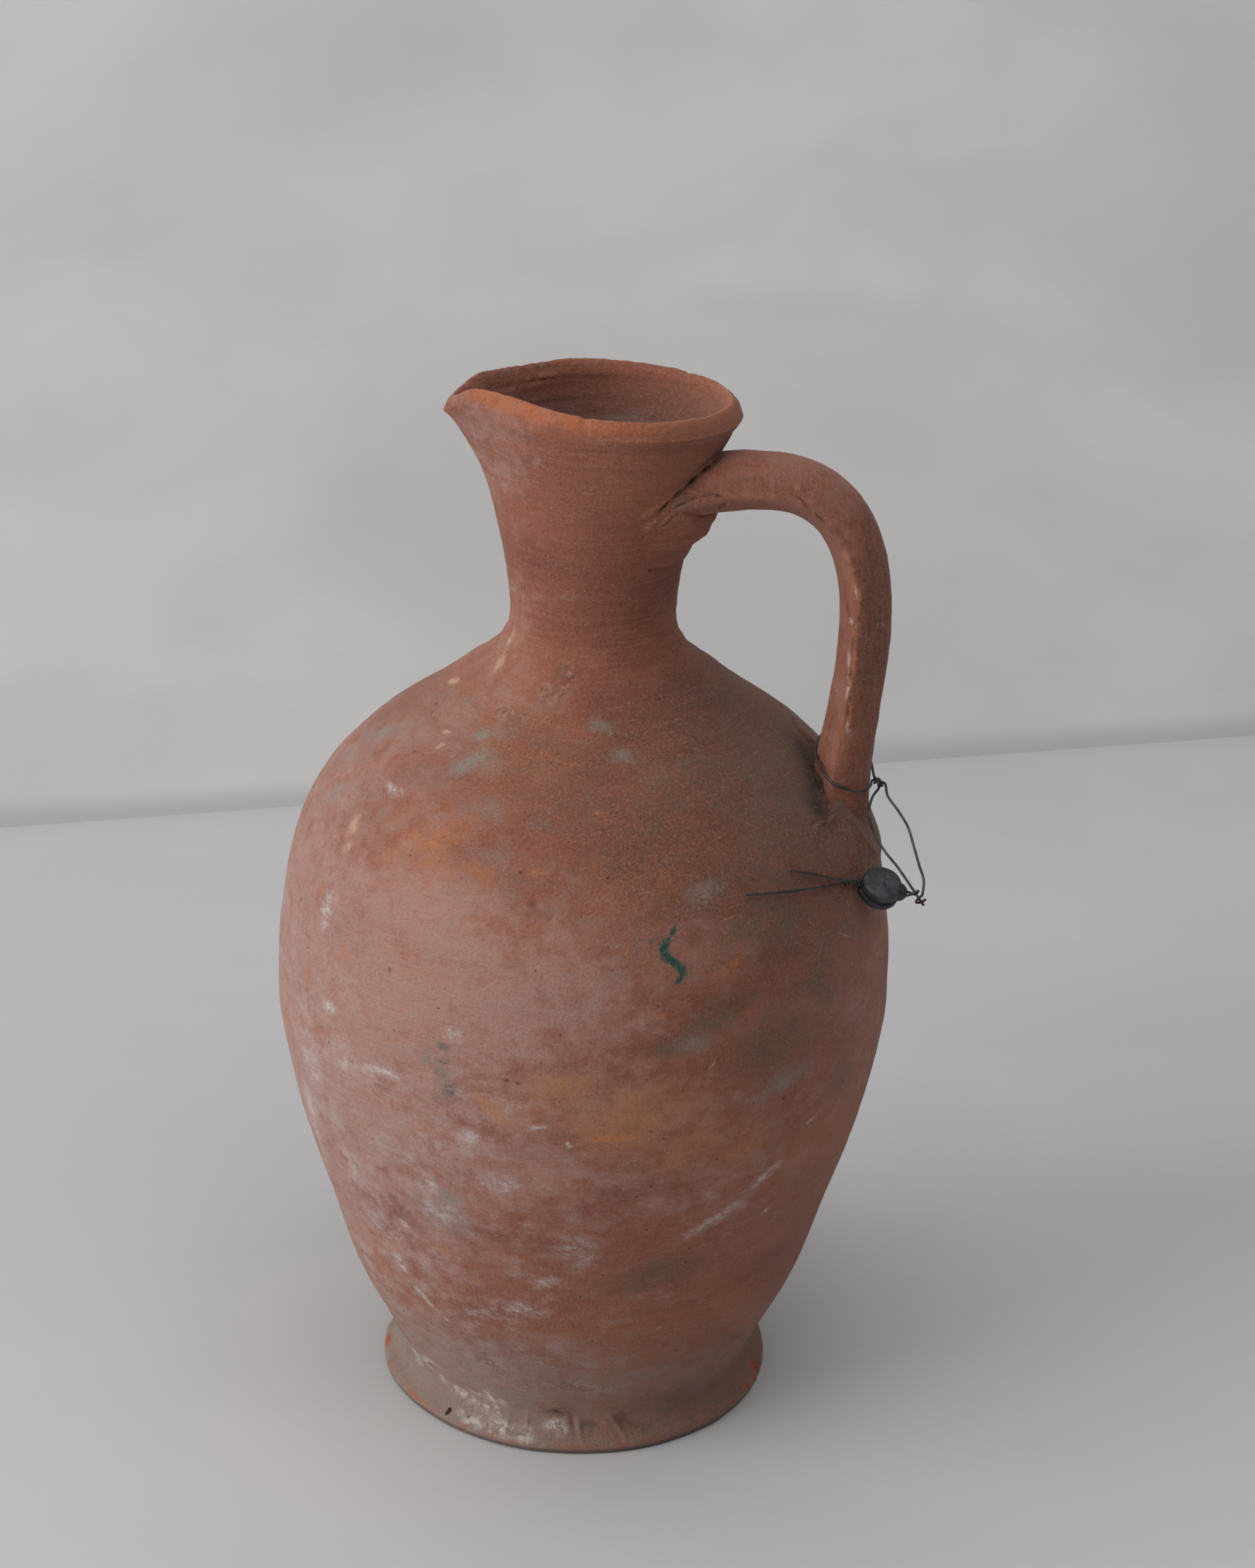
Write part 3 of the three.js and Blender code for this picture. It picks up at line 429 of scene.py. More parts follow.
def make_neck():
    rings, outer, roll = neck_rings()
    n = normals_of(rings)
    out = np.sum(n[: outer // 2, :, :2] * rings[: outer // 2, :, :2], -1).mean()
    n = n if out > 0 else -n
    move = clay(rings)
    row = np.arange(len(rings))[:, None]
    inside = row >= outer + roll
    z, a = rings[..., 2], np.arctan2(rings[..., 1], rings[..., 0])
    level = z + 1.2 * np.cos(a + 0.5) + 0.4 * noise(rings, 30, 91)
    ribs = 0.14 * np.sin(level * 2 * math.pi / 4.1) + 0.1 * np.sin(level * 2 * math.pi / 2.3)
    within = 0.45 * fractal(rings, 26, 93, 3) + ribs * (0.5 + 0.5 * noise(rings, 25, 95))
    within += 0.05 * fractal(rings, 1.7, 96, 2)
    move = np.where(inside, within, move)
    band = np.exp(-(((z - 325.0) / 2.6) ** 2)) * 0.35 - 0.35 * np.exp(-(((z - 320.8) / 1.1) ** 2))
    band = band * (0.75 + 0.7 * noise(rings, (18, 18, 40), 98)) * (row < outer)
    rim = step(LIP_HEIGHT - 3, LIP_HEIGHT + 1, z)
    uneven = 0.36 * fractal(rings, 14, 97, 3) + 0.26 * fractal(rings, 4.5, 99, 3)
    uneven += 0.1 * fractal(rings, 1.6, 101, 2)
    move += band + rim * uneven
    for turn, wide, deep in RIM_CHIPS:
        place = wall_place(turn, 330.5, float(mouth_radius(math.radians(turn - 180))) - 1.5)
        move += press(rings, place, wide, 2.4, deep, 0, 0.6) * rim
    return ring_skin("jug_neck", rings + n * move[..., None], closed=True)


# azimuth, width and depth of the small chips in the rim
RIM_CHIPS = [
    (129, 1.8, -0.8), (121.5, 2.4, -0.7), (140, 1.2, -0.5),
    (44, 1.4, -0.5), (-96, 1.3, -0.4), (-150, 1, -0.35),
]


# The foot: its skin runs on up over the body's foot, where it dies out
FOOT_SKIN_TOP = 21.0
FOOT_STEM, FOOT_FLARE, FLARE_HEIGHT, FLARE_FALL = 56.9, 6.0, 3.6, 3.3


def foot_radius(z):
    """The foot's flare below, run softly into the body's outline above."""
    flare = FOOT_STEM + FOOT_FLARE * np.exp(-(z - FLARE_HEIGHT) / FLARE_FALL)
    body = outer_radius(np.maximum(z, FOOT_HEIGHT))
    body = np.where(z < FOOT_HEIGHT, WAIST_RADIUS - 0.49 * (FOOT_HEIGHT - z), body)
    soft = 0.75 * (1 - step(14, 20, z)) + 0.02
    return np.logaddexp(flare / soft, body / soft) * soft


def make_foot():
    turn = np.linspace(0, 2 * np.pi, 900, endpoint=False)
    under = [(4.0, 0.5), (30.0, 0.4), (52.0, 0.25), (58.0, 0.1), (60.6, 0.0), (61.7, 0.0), (62.3, 0.2)]
    edge = [(62.75, 0.6), (63.0, 1.1), (63.15, 1.7), (63.15, 2.3), (63.05, 2.8), (62.85, 3.3)]
    flare = [(float(foot_radius(z)), z) for z in np.linspace(3.9, FOOT_SKIN_TOP, 64)]
    top = float(outer_radius(FOOT_SKIN_TOP))
    back = [(top - 1.5, FOOT_SKIN_TOP - 0.2), (WAIST_RADIUS - 1.5, FOOT_HEIGHT + 0.4)]
    back += [(45.0, FOOT_HEIGHT), (4.0, FOOT_HEIGHT)]
    line = np.array(under + edge + flare + back)
    zz = np.broadcast_to(line[:, 1:], (len(line), len(turn)))
    grid = polar(line[:, :1], turn[None, :], zz)
    n = normals_of(grid)
    n = n if np.sum(n[12:40, :, :2] * grid[12:40, :, :2]) > 0 else -n
    row = np.arange(len(line))[:, None]
    skin = (row >= 4) & (row < len(line) - len(back))
    low = 1 - step(12, 19, zz)
    high = step(14.5, 19.5, zz)
    own = 0.6 * fractal(grid, (22, 22, 40), 101, 3) + 0.24 * fractal(grid, (7, 7, 5), 103, 3)
    own += 0.04 * fractal(grid, 1.7, 71, 2)
    own += 0.22 * np.maximum(noise(grid, (6, 6, 60), 107), 0) * step(3, 6, zz)
    move = own * low + (clay(grid) + 0.02) * high
    for az, height, wide, tall, deep, lean in FOOT_MARKS:
        centre = wall_place(az, height, float(foot_radius(height)))
        move += press(grid, centre, wide, tall, deep, lean, 0.35)
    ground = step(0.0, 1.2, zz)
    grid = grid + n * (move * skin * np.maximum(ground, 0.3))[..., None]
    grid[..., 2] = np.maximum(grid[..., 2], 0)
    return ring_skin("jug_foot", grid, crease=60)


# azimuth, height, width, height of the oval, depth, lean
FOOT_MARKS = [
    (-76.5, 8.6, 0.9, 3.6, 1.3, 34), (-73.6, 7.4, 3, 1, 1, -14),
    (-73.4, 9.6, 2.6, 1.4, -0.8, -20), (-93.5, 12.6, 4.5, 1.6, -0.8, 8),
    (-89.6, 8.5, 1, 3.4, -0.6, 8), (-87.6, 8, 0.9, 3.4, 0.5, 10), (-104, 8, 0.8, 4, 0.45, 0),
    (-110, 7, 0.7, 3.5, 0.4, 5), (-124, 8, 3.5, 0.7, 0.5, 24), (-14.5, 3.2, 2.8, 2.2, -1.3, 0),
    (-19.5, 2.6, 2, 1.6, -0.9, 0), (-25, 3, 1.4, 1.4, -0.6, 0), (-165, 10, 2.5, 3, -0.6, 0),
    (-158, 11.5, 1.5, 2, 0.4, 0), (170, 3, 3, 1.8, -0.9, 0), (-50, 3.4, 3.5, 1.4, -0.5, 0),
    (-100, 2.6, 2.2, 1, -0.5, 0), (60, 3, 4, 2, -0.9, 0), (110, 6, 2, 4, 0.7, 20),
    (20, 8, 3, 2, -0.6, 0),
]


# The handle
def handle_place(out, up, near=0.0):
    """A place in the handle's own plane, or near millimetres beside it."""
    c, s = math.cos(HANDLE_TURN), math.sin(HANDLE_TURN)
    out, near, up = np.broadcast_arrays(out, near, up)
    return np.stack([c * out - s * near, s * out + c * near + HANDLE_SIDE_SHIFT, up], -1)


def handle_reach(z):
    share = (HANDLE_ELBOW_HEIGHT - z) / (HANDLE_ELBOW_HEIGHT - HANDLE_FOOT_HEIGHT)
    return HANDLE_REACH - (HANDLE_REACH - HANDLE_FOOT_REACH) * (1 - math.cos(math.pi * share)) / 2


def handle_line(steps):
    """The handle's middle line in its own plane, evenly spaced, and the length run at each point."""
    line, start = [], THROAT_RADIUS * 0.7
    for t in np.linspace(0, 1, 7):
        rise = (HANDLE_CROWN_HEIGHT - HANDLE_ROOT_HEIGHT) * math.sin(math.pi / 2 * t)
        line.append((start + (HANDLE_CROWN_REACH - start) * t, HANDLE_ROOT_HEIGHT + rise))
    power = 2 / HANDLE_ARCH_POWER
    for t in np.linspace(0, math.pi / 2, 13)[1:]:
        out, up = math.sin(t) ** power, max(math.cos(t), 0) ** power
        line.append((
            HANDLE_CROWN_REACH + (HANDLE_REACH - HANDLE_CROWN_REACH) * out,
            HANDLE_ELBOW_HEIGHT + (HANDLE_CROWN_HEIGHT - HANDLE_ELBOW_HEIGHT) * up,
        ))
    for z in np.linspace(HANDLE_ELBOW_HEIGHT, HANDLE_FOOT_HEIGHT, 10)[1:]:
        line.append((handle_reach(z), z))
    line.append((HANDLE_FOOT_REACH, HANDLE_FOOT_HEIGHT - HANDLE_THICKNESS))
    dense = _spline(line, 1200)
    length = np.concatenate([[0], np.cumsum(np.hypot(*np.diff(dense, axis=0).T))])
    want = np.linspace(0, length[-1], steps)
    return np.stack([np.interp(want, length, dense[:, k]) for k in (0, 1)], -1), want


def handle_flare(share):
    """How much thicker the handle is at a share of its length: it widens to both ends."""
    return HANDLE_ROOT_FLARE * (1 - share) ** 5 + HANDLE_FOOT_FLARE * share**9


def handle_section(angle, thick, wide):
    """A place on the handle's oval section, with a ridge on each side."""
    c, s = np.cos(angle), np.sin(angle)
    away = (np.abs(np.arctan2(s, c)) - HANDLE_RIDGE_ANGLE) / HANDLE_RIDGE_WIDTH
    ridge = HANDLE_RIDGE * np.exp(-(away**2))
    out = thick * np.sign(c) * np.abs(c) ** HANDLE_CORNER_POWER
    near = (wide + ridge) * np.sign(s) * np.abs(s) ** HANDLE_CORNER_POWER
    return out, near


def ended_in_wall(points):
    """The points, with those that would pass through the vessel's wall drawn out into its thickness."""
    x, y, z = points[..., 0], points[..., 1], points[..., 2]
    turn = np.degrees(np.arctan2(y, x))
    on_wall = np.where((z > SEAM_HEIGHT)[..., None], on_neck(turn, z, 0.0), on_body(turn, z, 0.0))
    deepest = np.hypot(on_wall[..., 0], on_wall[..., 1]) - HANDLE_BURIED * np.hypot(1, outer_slope(z))
    outwards = np.maximum(deepest / np.maximum(np.hypot(x, y), 1.0), 1.0)
    return np.stack([x * outwards, y * outwards, z], -1)


def make_handle():
    line, length = handle_line(440)
    along = np.gradient(line, axis=0)
    along /= np.linalg.norm(along, axis=1, keepdims=True)
    share = length / length[-1]
    flare = handle_flare(share)
    angle = np.linspace(0, 2 * np.pi, 132, endpoint=False)
    thick = ((HANDLE_THICKNESS + flare) / 2)[:, None]
    wide = ((HANDLE_WIDTH + flare) / 2)[:, None]
    out, near = handle_section(angle[None, :], thick, wide)

    def skin(out, near):
        return handle_place(line[:, :1] - out * along[:, 1:], line[:, 1:] + out * along[:, :1], near)

    plain = skin(out, near)
    # Two flat faces meet in the ridge on each side
    turn = np.minimum(angle, 2 * np.pi - angle)
    front = turn / HANDLE_RIDGE_ANGLE
    back = (turn - HANDLE_RIDGE_ANGLE) / (math.pi - HANDLE_RIDGE_ANGLE)
    hollow = np.where(front < 1, np.sin(math.pi * front) ** 2, np.sin(math.pi * back) ** 2)
    strength = (0.15 * step(0.26, 0.45, share) * (1 - 0.6 * step(0.86, 0.97, share)))[:, None]
    fold = 1 - strength * hollow[None, :]
    grid = skin(out * fold, near * fold)
    n = normals_of(grid)
    centre = handle_place(line[:, :1], line[:, 1:])
    n = n if np.sum(n * (grid - centre)) > 0 else -n
    move = 0.42 * fractal(grid, 22, 201, 3) + 0.2 * fractal(grid, 7, 203, 3)
    move += 0.045 * fractal(grid, 1.7, 205, 2)
    around = 2.2 * np.cos(angle)[None, :], 2.2 * np.sin(angle)[None, :]
    drawn = np.stack(np.broadcast_arrays(length[:, None] / 26, *around), -1)
    move += 0.16 * noise(drawn, 0.55, 207) + 0.08 * noise(drawn, 0.25, 209)
    for points, width, deep in HANDLE_LINES + HANDLE_GROOVES:
        move += deep * line_mark(plain, points, width)
    return ring_skin("jug_handle", ended_in_wall(grid + n * move[..., None]))


# The crack at the handle's root, the bead beyond it and the edge of the pressed oval
CRACK = [
    (36.2, -14.8, 315.8), (34.1, -19.4, 314.2), (30.3, -21.6, 311.9),
    (25.7, -23.5, 307.9), (22, -24.3, 304.8), (18.3, -25.6, 301.2),
]
BEAD = [
    (14.5, -27.4, 300.6), (17.5, -25.8, 302.6), (20.7, -24.4, 304.9), (23.7, -23, 307.2),
    (27, -21.2, 310),
]
OVAL = [
    (17.6, -25.2, 297.4), (19.4, -24.6, 299.4), (23, -24.2, 301.9), (26.9, -24.3, 304.2),
    (30, -24.3, 305.8), (34.3, -24.6, 306.6), (37, -24.8, 306), (38.4, -24.6, 304.4),
    (37.4, -23.6, 302.8), (35, -23.4, 300.9), (31.4, -26.2, 299.6), (27, -28.4, 298.2),
    (22.4, -27.4, 296.4), (18.6, -25.6, 296.4), (17.6, -25.2, 297.4),
]

# places along the line, its half width and its depth
HANDLE_LINES = [
    (
        [(76.5, -27.7, 285.6), (78.8, -27.8, 278.1), (78.7, -27.8, 272.6), (76.8, -26.8, 269.0)], 0.8,
        0.5,
    ),
    ([(76.8, -26.8, 269), (78.8, -27.7, 259.6), (78.7, -27.8, 252.9)], 0.7, 0.45),
    (
        [(77.4, -26.9, 266.0), (77.0, -27.2, 258.0), (77.2, -27.2, 249.0), (77.3, -27.4, 243.0)], 0.6,
        -0.5,
    ),
    ([(75, -24.4, 272.5), (75.4, -24.8, 270.6)], 1.1, -1.3),
    ([(78, -27.7, 241.7), (78.3, -27.7, 236.6)], 0.8, 0.6),
    ([(77, -27.2, 244), (77.2, -27.4, 239)], 0.7, -0.4),
    (
        [(36.0, -23.3, 311.4), (46.6, -24.1, 312.2), (53.8, -24.8, 311.7), (59.1, -25.7, 309.7)], 1.6,
        0.4,
    ),
    (
        [(59.1, -25.7, 309.7), (64.0, -26.6, 305.0), (68.4, -27.0, 301.1), (72.6, -27.3, 294.2)], 1.0,
        0.5,
    ),
    ([(58, -26.3, 308), (63, -27, 303.6), (67.4, -27, 299.4)], 0.8, -0.4),
    ([(72.6, -27.3, 294.2), (75, -27.4, 288.6), (76.5, -27.7, 285.6)], 0.9, 0.35),
    ([(44, -22, 303), (52, -23.5, 303.6), (60, -24.5, 301)], 1.2, -0.3),
    ([(83.5, -24, 262), (83.8, -24, 240)], 0.8, -0.25),
]
HANDLE_GROOVES = [(CRACK, 0.8, -1.3), (OVAL[2:11], 0.45, -0.5)]


# Smears of clay: a sheet laid on a wall, thick in the middle and running out below its face
def smear(name, wall_point, columns, rows, height):
    """wall_point(u, v, lift) gives a place; height(u, v, place) the clay's thickness there."""
    u, v = np.meshgrid(columns, rows, indexing="xy")
    base = wall_point(u, v, 0.0)
    thick = height(u, v, base)
    top = wall_point(u, v, clay(base) + np.maximum(thick, -0.5))
    low = wall_point(u, v, -2.6)
    count = u.size
    verts = np.vstack([top.reshape(-1, 3), low.reshape(-1, 3)])
    nrow, ncol = u.shape
    faces = grid_faces(nrow, ncol, wrap_columns=False)
    faces += [f[::-1] for f in grid_faces(nrow, ncol, wrap_columns=False, offset=count)]
    edge = [(0, j) for j in range(ncol)] + [(i, ncol - 1) for i in range(1, nrow)]
    edge += [(nrow - 1, j) for j in range(ncol - 2, -1, -1)] + [(i, 0) for i in range(nrow - 2, 0, -1)]
    loop = [i * ncol + j for i, j in edge]
    for a, b in zip(loop, loop[1:] + loop[:1]):
        faces.append([b, a, a + count, b + count])
    return make_mesh(name, verts, facing_out(verts, faces), crease=60)


def on_neck(turn, z, lift):
    """A place on the neck's outer face, lifted off it. turn is an azimuth in degrees."""
    a = np.radians(turn)
    radius, height = neck_face((a - math.pi) % (2 * math.pi), z)
    slope = outer_slope(z)
    n = 1 / np.hypot(1, slope)
    return polar(radius + lift * n, a, height - lift * slope * n)


def on_body(turn, z, lift):
    """A place on the body's outer face, lifted off it."""
    slope = outer_slope(z)
    n = 1 / np.hypot(1, slope)
    return polar(outer_radius(z) + lift * n, np.radians(turn), z - lift * slope * n)


def laid(points, wall_point, low, high):
    """The places on the bare wall that lie under some points off it."""
    z = np.linspace(low, high, 400)
    under = []
    for q in points:
        turn = math.degrees(math.atan2(q[1], q[0]))
        wall = wall_point(np.full(z.shape, turn), z, 0.0)
        under.append(tuple(wall[np.linalg.norm(wall - np.array(q), axis=-1).argmin()]))
    return under


def handle_distance(p):
    """Roughly how far a point lies from the handle's skin, in its own plane's section."""
    c, s = math.cos(HANDLE_TURN), math.sin(HANDLE_TURN)
    x, y = p[..., 0], p[..., 1] - HANDLE_SIDE_SHIFT
    out, near = c * x + s * y, -s * x + c * y
    line, length = handle_line(160)
    flat = np.stack([out, p[..., 2]], -1).reshape(-1, 2)
    gap = np.linalg.norm(flat[:, None, :] - line[None, :, :], axis=-1)
    k = gap.argmin(1)
    flare = handle_flare(length[k] / length[-1])
    across = gap.min(1).reshape(out.shape) / ((HANDLE_THICKNESS + flare) / 2).reshape(out.shape)
    side = np.abs(near) / ((HANDLE_WIDTH + flare) / 2).reshape(out.shape)
    q = np.hypot(across, side)
    return (q - 1) * (HANDLE_THICKNESS + HANDLE_WIDTH) / 4 / np.maximum(q, 0.3) ** 0.3


def upper_height(u, v, place):
    """The root's smear: a raised bead beyond the crack, a pressed oval and clay that hangs below."""
    r = np.hypot(place[..., 0], place[..., 1])

    def oval(turn, height, wide, high, lean=0.0, wobble=0.0):
        x, y = leaned(np.radians(u - turn) * r, (v - height) * 1.15, lean)
        return 1 - np.hypot(x / wide, y / high) * (1 + wobble)

    wobble = 0.15 * fractal(place, 7, 301, 3)
    crack, bead_line, rim = (laid(points, on_neck, 284, 322) for points in (CRACK, BEAD, OVAL))
    bead = 0.75 * line_mark(place, bead_line, 1.2) * (0.8 + 0.5 * noise(place, 4.0, 305))
    gap = 1 - 0.95 * line_mark(place, crack, 1.3)
    smear_ = 4.0 * np.clip(oval(-40, 297.8, 13.0, 5.6, 9, wobble), 0, 1) ** 0.75
    near = np.maximum(handle_distance(place), 0)
    below = step(306, 299, v) * step(-66, -28, u) * (1 - 0.3 * step(-12, 4, u))
    hanging = (6.6 + 0.7 * noise(place, 6.0, 309)) * np.exp(-((near / 7.6) ** 1.9)) * below
    drips = 1.3 * np.clip(oval(-18, 291.0, 6.0, 4.2), 0, 1)
    pressed = 0.22 * fractal(place, 4.5, 303, 3) + 0.10 * noise(place, (3, 3, 1.1), 307)
    thick = np.maximum(smear_, hanging) + drips * step(0.2, 2.0, hanging)
    groove = -0.45 * line_mark(place, rim, 0.7) * step(0.1, 0.8, thick)
    return (thick + (pressed + groove) * step(0.05, 0.8, thick)) * gap + bead - 0.22


FOLD_TURNS = (-46, -36, -33, -30, -27, -24, -21, -18, -15, -12, -8, 0, 14)
FOLD_HEIGHTS = (203, 206.5, 208.6, 209.6, 209.2, 209.6, 210.6, 211.6, 213, 215, 219, 224, 226)


def lower_height(u, v, place):
    """The skirt below the handle's lower end: a torn lip along the fold, thin where it runs out."""
    near = np.maximum(handle_distance(place), 0)
    fold = np.interp(u, FOLD_TURNS, FOLD_HEIGHTS) + 0.9 * noise(place, 5.0, 317)
    fold = fold + 0.4 * noise(place, 1.6, 319)
    under = fold - v
    covered = step(-0.5, 0.6, under)
    skirt = 3.7 * np.exp(-near / 7.0) * step(-44, -29, u)
    skirt = (skirt + 0.6 * np.exp(-((under - 0.9) / 1.1) ** 2) * step(-37, -31, u)) * covered
    skirt += 1.6 * np.exp(-near / 1.6) * (1 - covered)
    seams = [
        ([(75, -31.5, 207.5), (78, -33.6, 202), (80.6, -36.8, 195.4)], 1.3, 0.7),
        ([(79, -29.6, 208), (83.4, -29.6, 201.5), (87.6, -25, 193)], 1.2, 0.5),
        ([(72, -36, 206.5), (72.4, -40.6, 202)], 1.5, -0.5),
    ]
    for points, width, high in seams:
        skirt += high * line_mark(place, laid(points, on_body, 180, 230), width) * covered
    hollow = [(66.0, -12.0, 221.5), (67.0, -21.5, 218.5), (68.3, -29.5, 214.8), (69.0, -34.5, 211.6)]
    pocket = -1.3 * line_mark(place, laid(hollow, on_body, 190, 236), 2.4) * (1 - covered)
    lumps = 0.4 * fractal(place, 8, 311, 3) + 0.16 * fractal(place, 2.6, 313, 2)
    edges = step(180, 192, v) * step(14, 6, u) * step(-46, -40, u)
    return (skirt + pocket + lumps * np.exp(-near / 9)) * edges - 0.5


def make_lutes():
    upper = smear(
        "lute_upper", on_neck, np.linspace(-72, 0, 260), np.linspace(282, 319, 190), upper_height,
    )
    lower = smear(
        "lute_lower", on_body, np.linspace(-46, 14, 280), np.linspace(180, 228, 240), lower_height,
    )
    return upper, lower


# Wires
def wire(name, points, seed):
    """A round, slightly uneven skin along a line."""
    p = np.array(points, float)
    t = np.gradient(p, axis=0)
    t /= np.linalg.norm(t, axis=1, keepdims=True)
    across = np.cross([0.31, 0.17, 0.93], t[0])
    across /= np.linalg.norm(across)
    angle = np.linspace(0, 2 * np.pi, WIRE_SIDES, endpoint=False)[:, None]
    rings = []
    for at, along in zip(p, t):
        across = across - along * np.dot(along, across)
        across /= np.linalg.norm(across)
        up = np.cross(along, across)
        rings.append(at + WIRE_RADIUS * (np.cos(angle) * across + np.sin(angle) * up))
    rings = np.array(rings)
    rings += WIRE_WAVER * noise(rings, 1.1, seed)[..., None] * (rings - p[:, None, :]) / WIRE_RADIUS
    return ring_skin(name, rings, crease=60)


def smooth_line(points, steps):
    """A centripetal Catmull-Rom line through the points, evenly spaced."""
    p = np.array(points, float)
    ends = np.vstack([2 * p[0] - p[1], p, 2 * p[-1] - p[-2]])
    dense = []
    for i in range(len(p) - 1):
        p0, p1, p2, p3 = ends[i:i + 4]
        d = [max(np.linalg.norm(b - a) ** 0.5, 1e-4) for a, b in ((p0, p1), (p1, p2), (p2, p3))]
        m1 = ((p1 - p0) / d[0] - (p2 - p0) / (d[0] + d[1]) + (p2 - p1) / d[1]) * d[1]
        m2 = ((p2 - p1) / d[1] - (p3 - p1) / (d[1] + d[2]) + (p3 - p2) / d[2]) * d[1]
        w = np.linspace(0, 1, 40, endpoint=i == len(p) - 2)[:, None]
        dense.append(_between(p1, p2, m1, m2, w))
    dense = np.vstack(dense)
    length = np.concatenate([[0], np.cumsum(np.linalg.norm(np.diff(dense, axis=0), axis=1))])
    want = np.linspace(0, length[-1], steps)
    return np.stack([np.interp(want, length, dense[:, k]) for k in range(3)], -1)


COLLAR_FALL_OUT, COLLAR_FALL_NEAR, COLLAR_SHIFT = -0.42, 0.35, 0.2
COLLAR_SLACK, COLLAR_GAP = 0.7, 0.16  # its room round the handle, and half its opening in radians
EYE_RADIUS, EYE_DROP, EYE_STEP_OUT, EYE_FALL, EYE_GAP = 1.3, 2.5, 0.6, 0.78, 0.62
BEND_OFF = 2.1 * WIRE_RADIUS  # from the middle of a strand to the end that is bent over it
WRAP_START, WRAP_LENGTH, WRAP_RADIUS, WRAP_TURNS = 1.8, 2.0, 1.3, 1.25
PENDANT_LENGTH = 25.3
HOOK_RADIUS = 1.1
_reach = handle_reach(COLLAR_HEIGHT) + COLLAR_SHIFT


def collar_point(turn):
    """A place on the ring round the handle's foot, which hangs lower on its outer side."""
    slack = COLLAR_SLACK + WIRE_RADIUS
    out, near = handle_section(turn, HANDLE_THICKNESS / 2 + slack, HANDLE_WIDTH / 2 + slack)
    p = handle_place(_reach + out, COLLAR_HEIGHT, near)
    away = p - handle_place(_reach, COLLAR_HEIGHT)
    return p + np.array([0, 0, COLLAR_FALL_OUT * away[0] + COLLAR_FALL_NEAR * away[1]])


_outer = collar_point(0.0)
HEADING = unit([_outer[0], _outer[1], 0])
EYE_AXIS = HEADING * math.sqrt(1 - EYE_FALL**2) + np.array([0, 0, -EYE_FALL])
EYE_SIDE = np.cross([0, 0, 1], HEADING)
EYE_NORMAL = np.cross(EYE_AXIS, EYE_SIDE)
EYE_CENTRE = _outer + HEADING * EYE_STEP_OUT + EYE_AXIS * EYE_DROP
EYE_FOOT = EYE_CENTRE + EYE_AXIS * EYE_RADIUS


def on_shoulder(sideways, down, off):
    """A place off the shoulder and the directions there, in shares of the pendant's length."""
    z = EYE_FOOT[2] - down * PENDANT_LENGTH
    radius = float(outer_radius(z))
    angle = math.atan2(EYE_FOOT[1], EYE_FOOT[0]) - sideways * PENDANT_LENGTH / radius
    outwards = np.array([math.cos(angle), math.sin(angle), 0])
    side = np.cross(outwards, [0, 0, 1])
    up = unit(outwards * float(outer_slope(z)) + [0, 0, 1])
    normal = np.cross(up, side)
    return outwards * radius + [0, 0, z] + normal * off * PENDANT_LENGTH, normal, up, side


_shift = EYE_FOOT - on_shoulder(0, 0.274, 0.463)[0]


def route(rows, hang=False):
    """Places off the shoulder. What hangs from the eye is shifted to it, less and less further down."""
    at = [on_shoulder(*row)[0] for row in rows]
    if hang:
        at = [p + _shift * (1 - (i + 1) / len(at)) ** 2 for i, p in enumerate(at)]
    return at


PENDANT_LEFT = route([
    (0.108, 0.299, 0.332), (0.229, 0.38, 0.244), (0.323, 0.475, 0.228),
    (0.422, 0.617, 0.255), (0.502, 0.759, 0.324), (0.579, 0.924, 0.446),
], hang=True)
PENDANT_RIGHT = route([
    (0.062, 0.358, 0.482), (0.151, 0.505, 0.541), (0.246, 0.654, 0.601),
    (0.363, 0.8, 0.629), (0.491, 0.954, 0.673), (0.588, 1.087, 0.72),
], hang=True)
HOOK = on_shoulder(0.698, 1.16, 0.63)[0]
TWIST_END = on_shoulder(1.27, 0.787, 0.083)[0]
TAIL_UPPER = route([(1.454, 0.676, 0.064), (1.657, 0.574, 0.064), (1.968, 0.44, 0.066)])
TAIL_LOWER = route([
    (1.877, 0.674, 0.068), (2.202, 0.617, 0.072), (2.505, 0.569, 0.071), (2.73, 0.536, 0.068),
])
LEG_WAY = unit(HOOK - PENDANT_LEFT[-1])


def hook_round(middle, forwards, sideways):
    """Half a turn round a middle, bulging forwards."""
    return [
        middle + HOOK_RADIUS * (math.cos(a) * forwards + math.sin(a) * sideways)
        for a in (math.radians(d) for d in (-90, -45, 0, 45, 90))
    ]


def make_collar():
    ring = [collar_point(t) for t in np.linspace(COLLAR_GAP, 2 * math.pi - COLLAR_GAP, 31)]
    eye = [
        EYE_CENTRE - EYE_AXIS * EYE_RADIUS * math.cos(t) - EYE_SIDE * EYE_RADIUS * math.sin(t)
        for t in np.linspace(EYE_GAP, 2 * math.pi - EYE_GAP, 15)
    ]
    # The ring's free end is bent over the strand that runs into the eye
    neck, way = (ring[-1] + eye[0]) / 2, unit(eye[0] - ring[-1])
    start = ring[0] - neck
    sideways = unit(start - way * (start @ way))
    over = np.cross(way, sideways)
    over = over if over @ HEADING > 0 else -over
    bend = [
        neck + BEND_OFF * (math.cos(a) * sideways + math.sin(a) * over) + way * 0.2 * (1.5 - a)
        for a in np.linspace(3.7, 0.35, 8)
    ]
    return wire("wire_collar", smooth_line(bend + ring + eye, 460), 401)


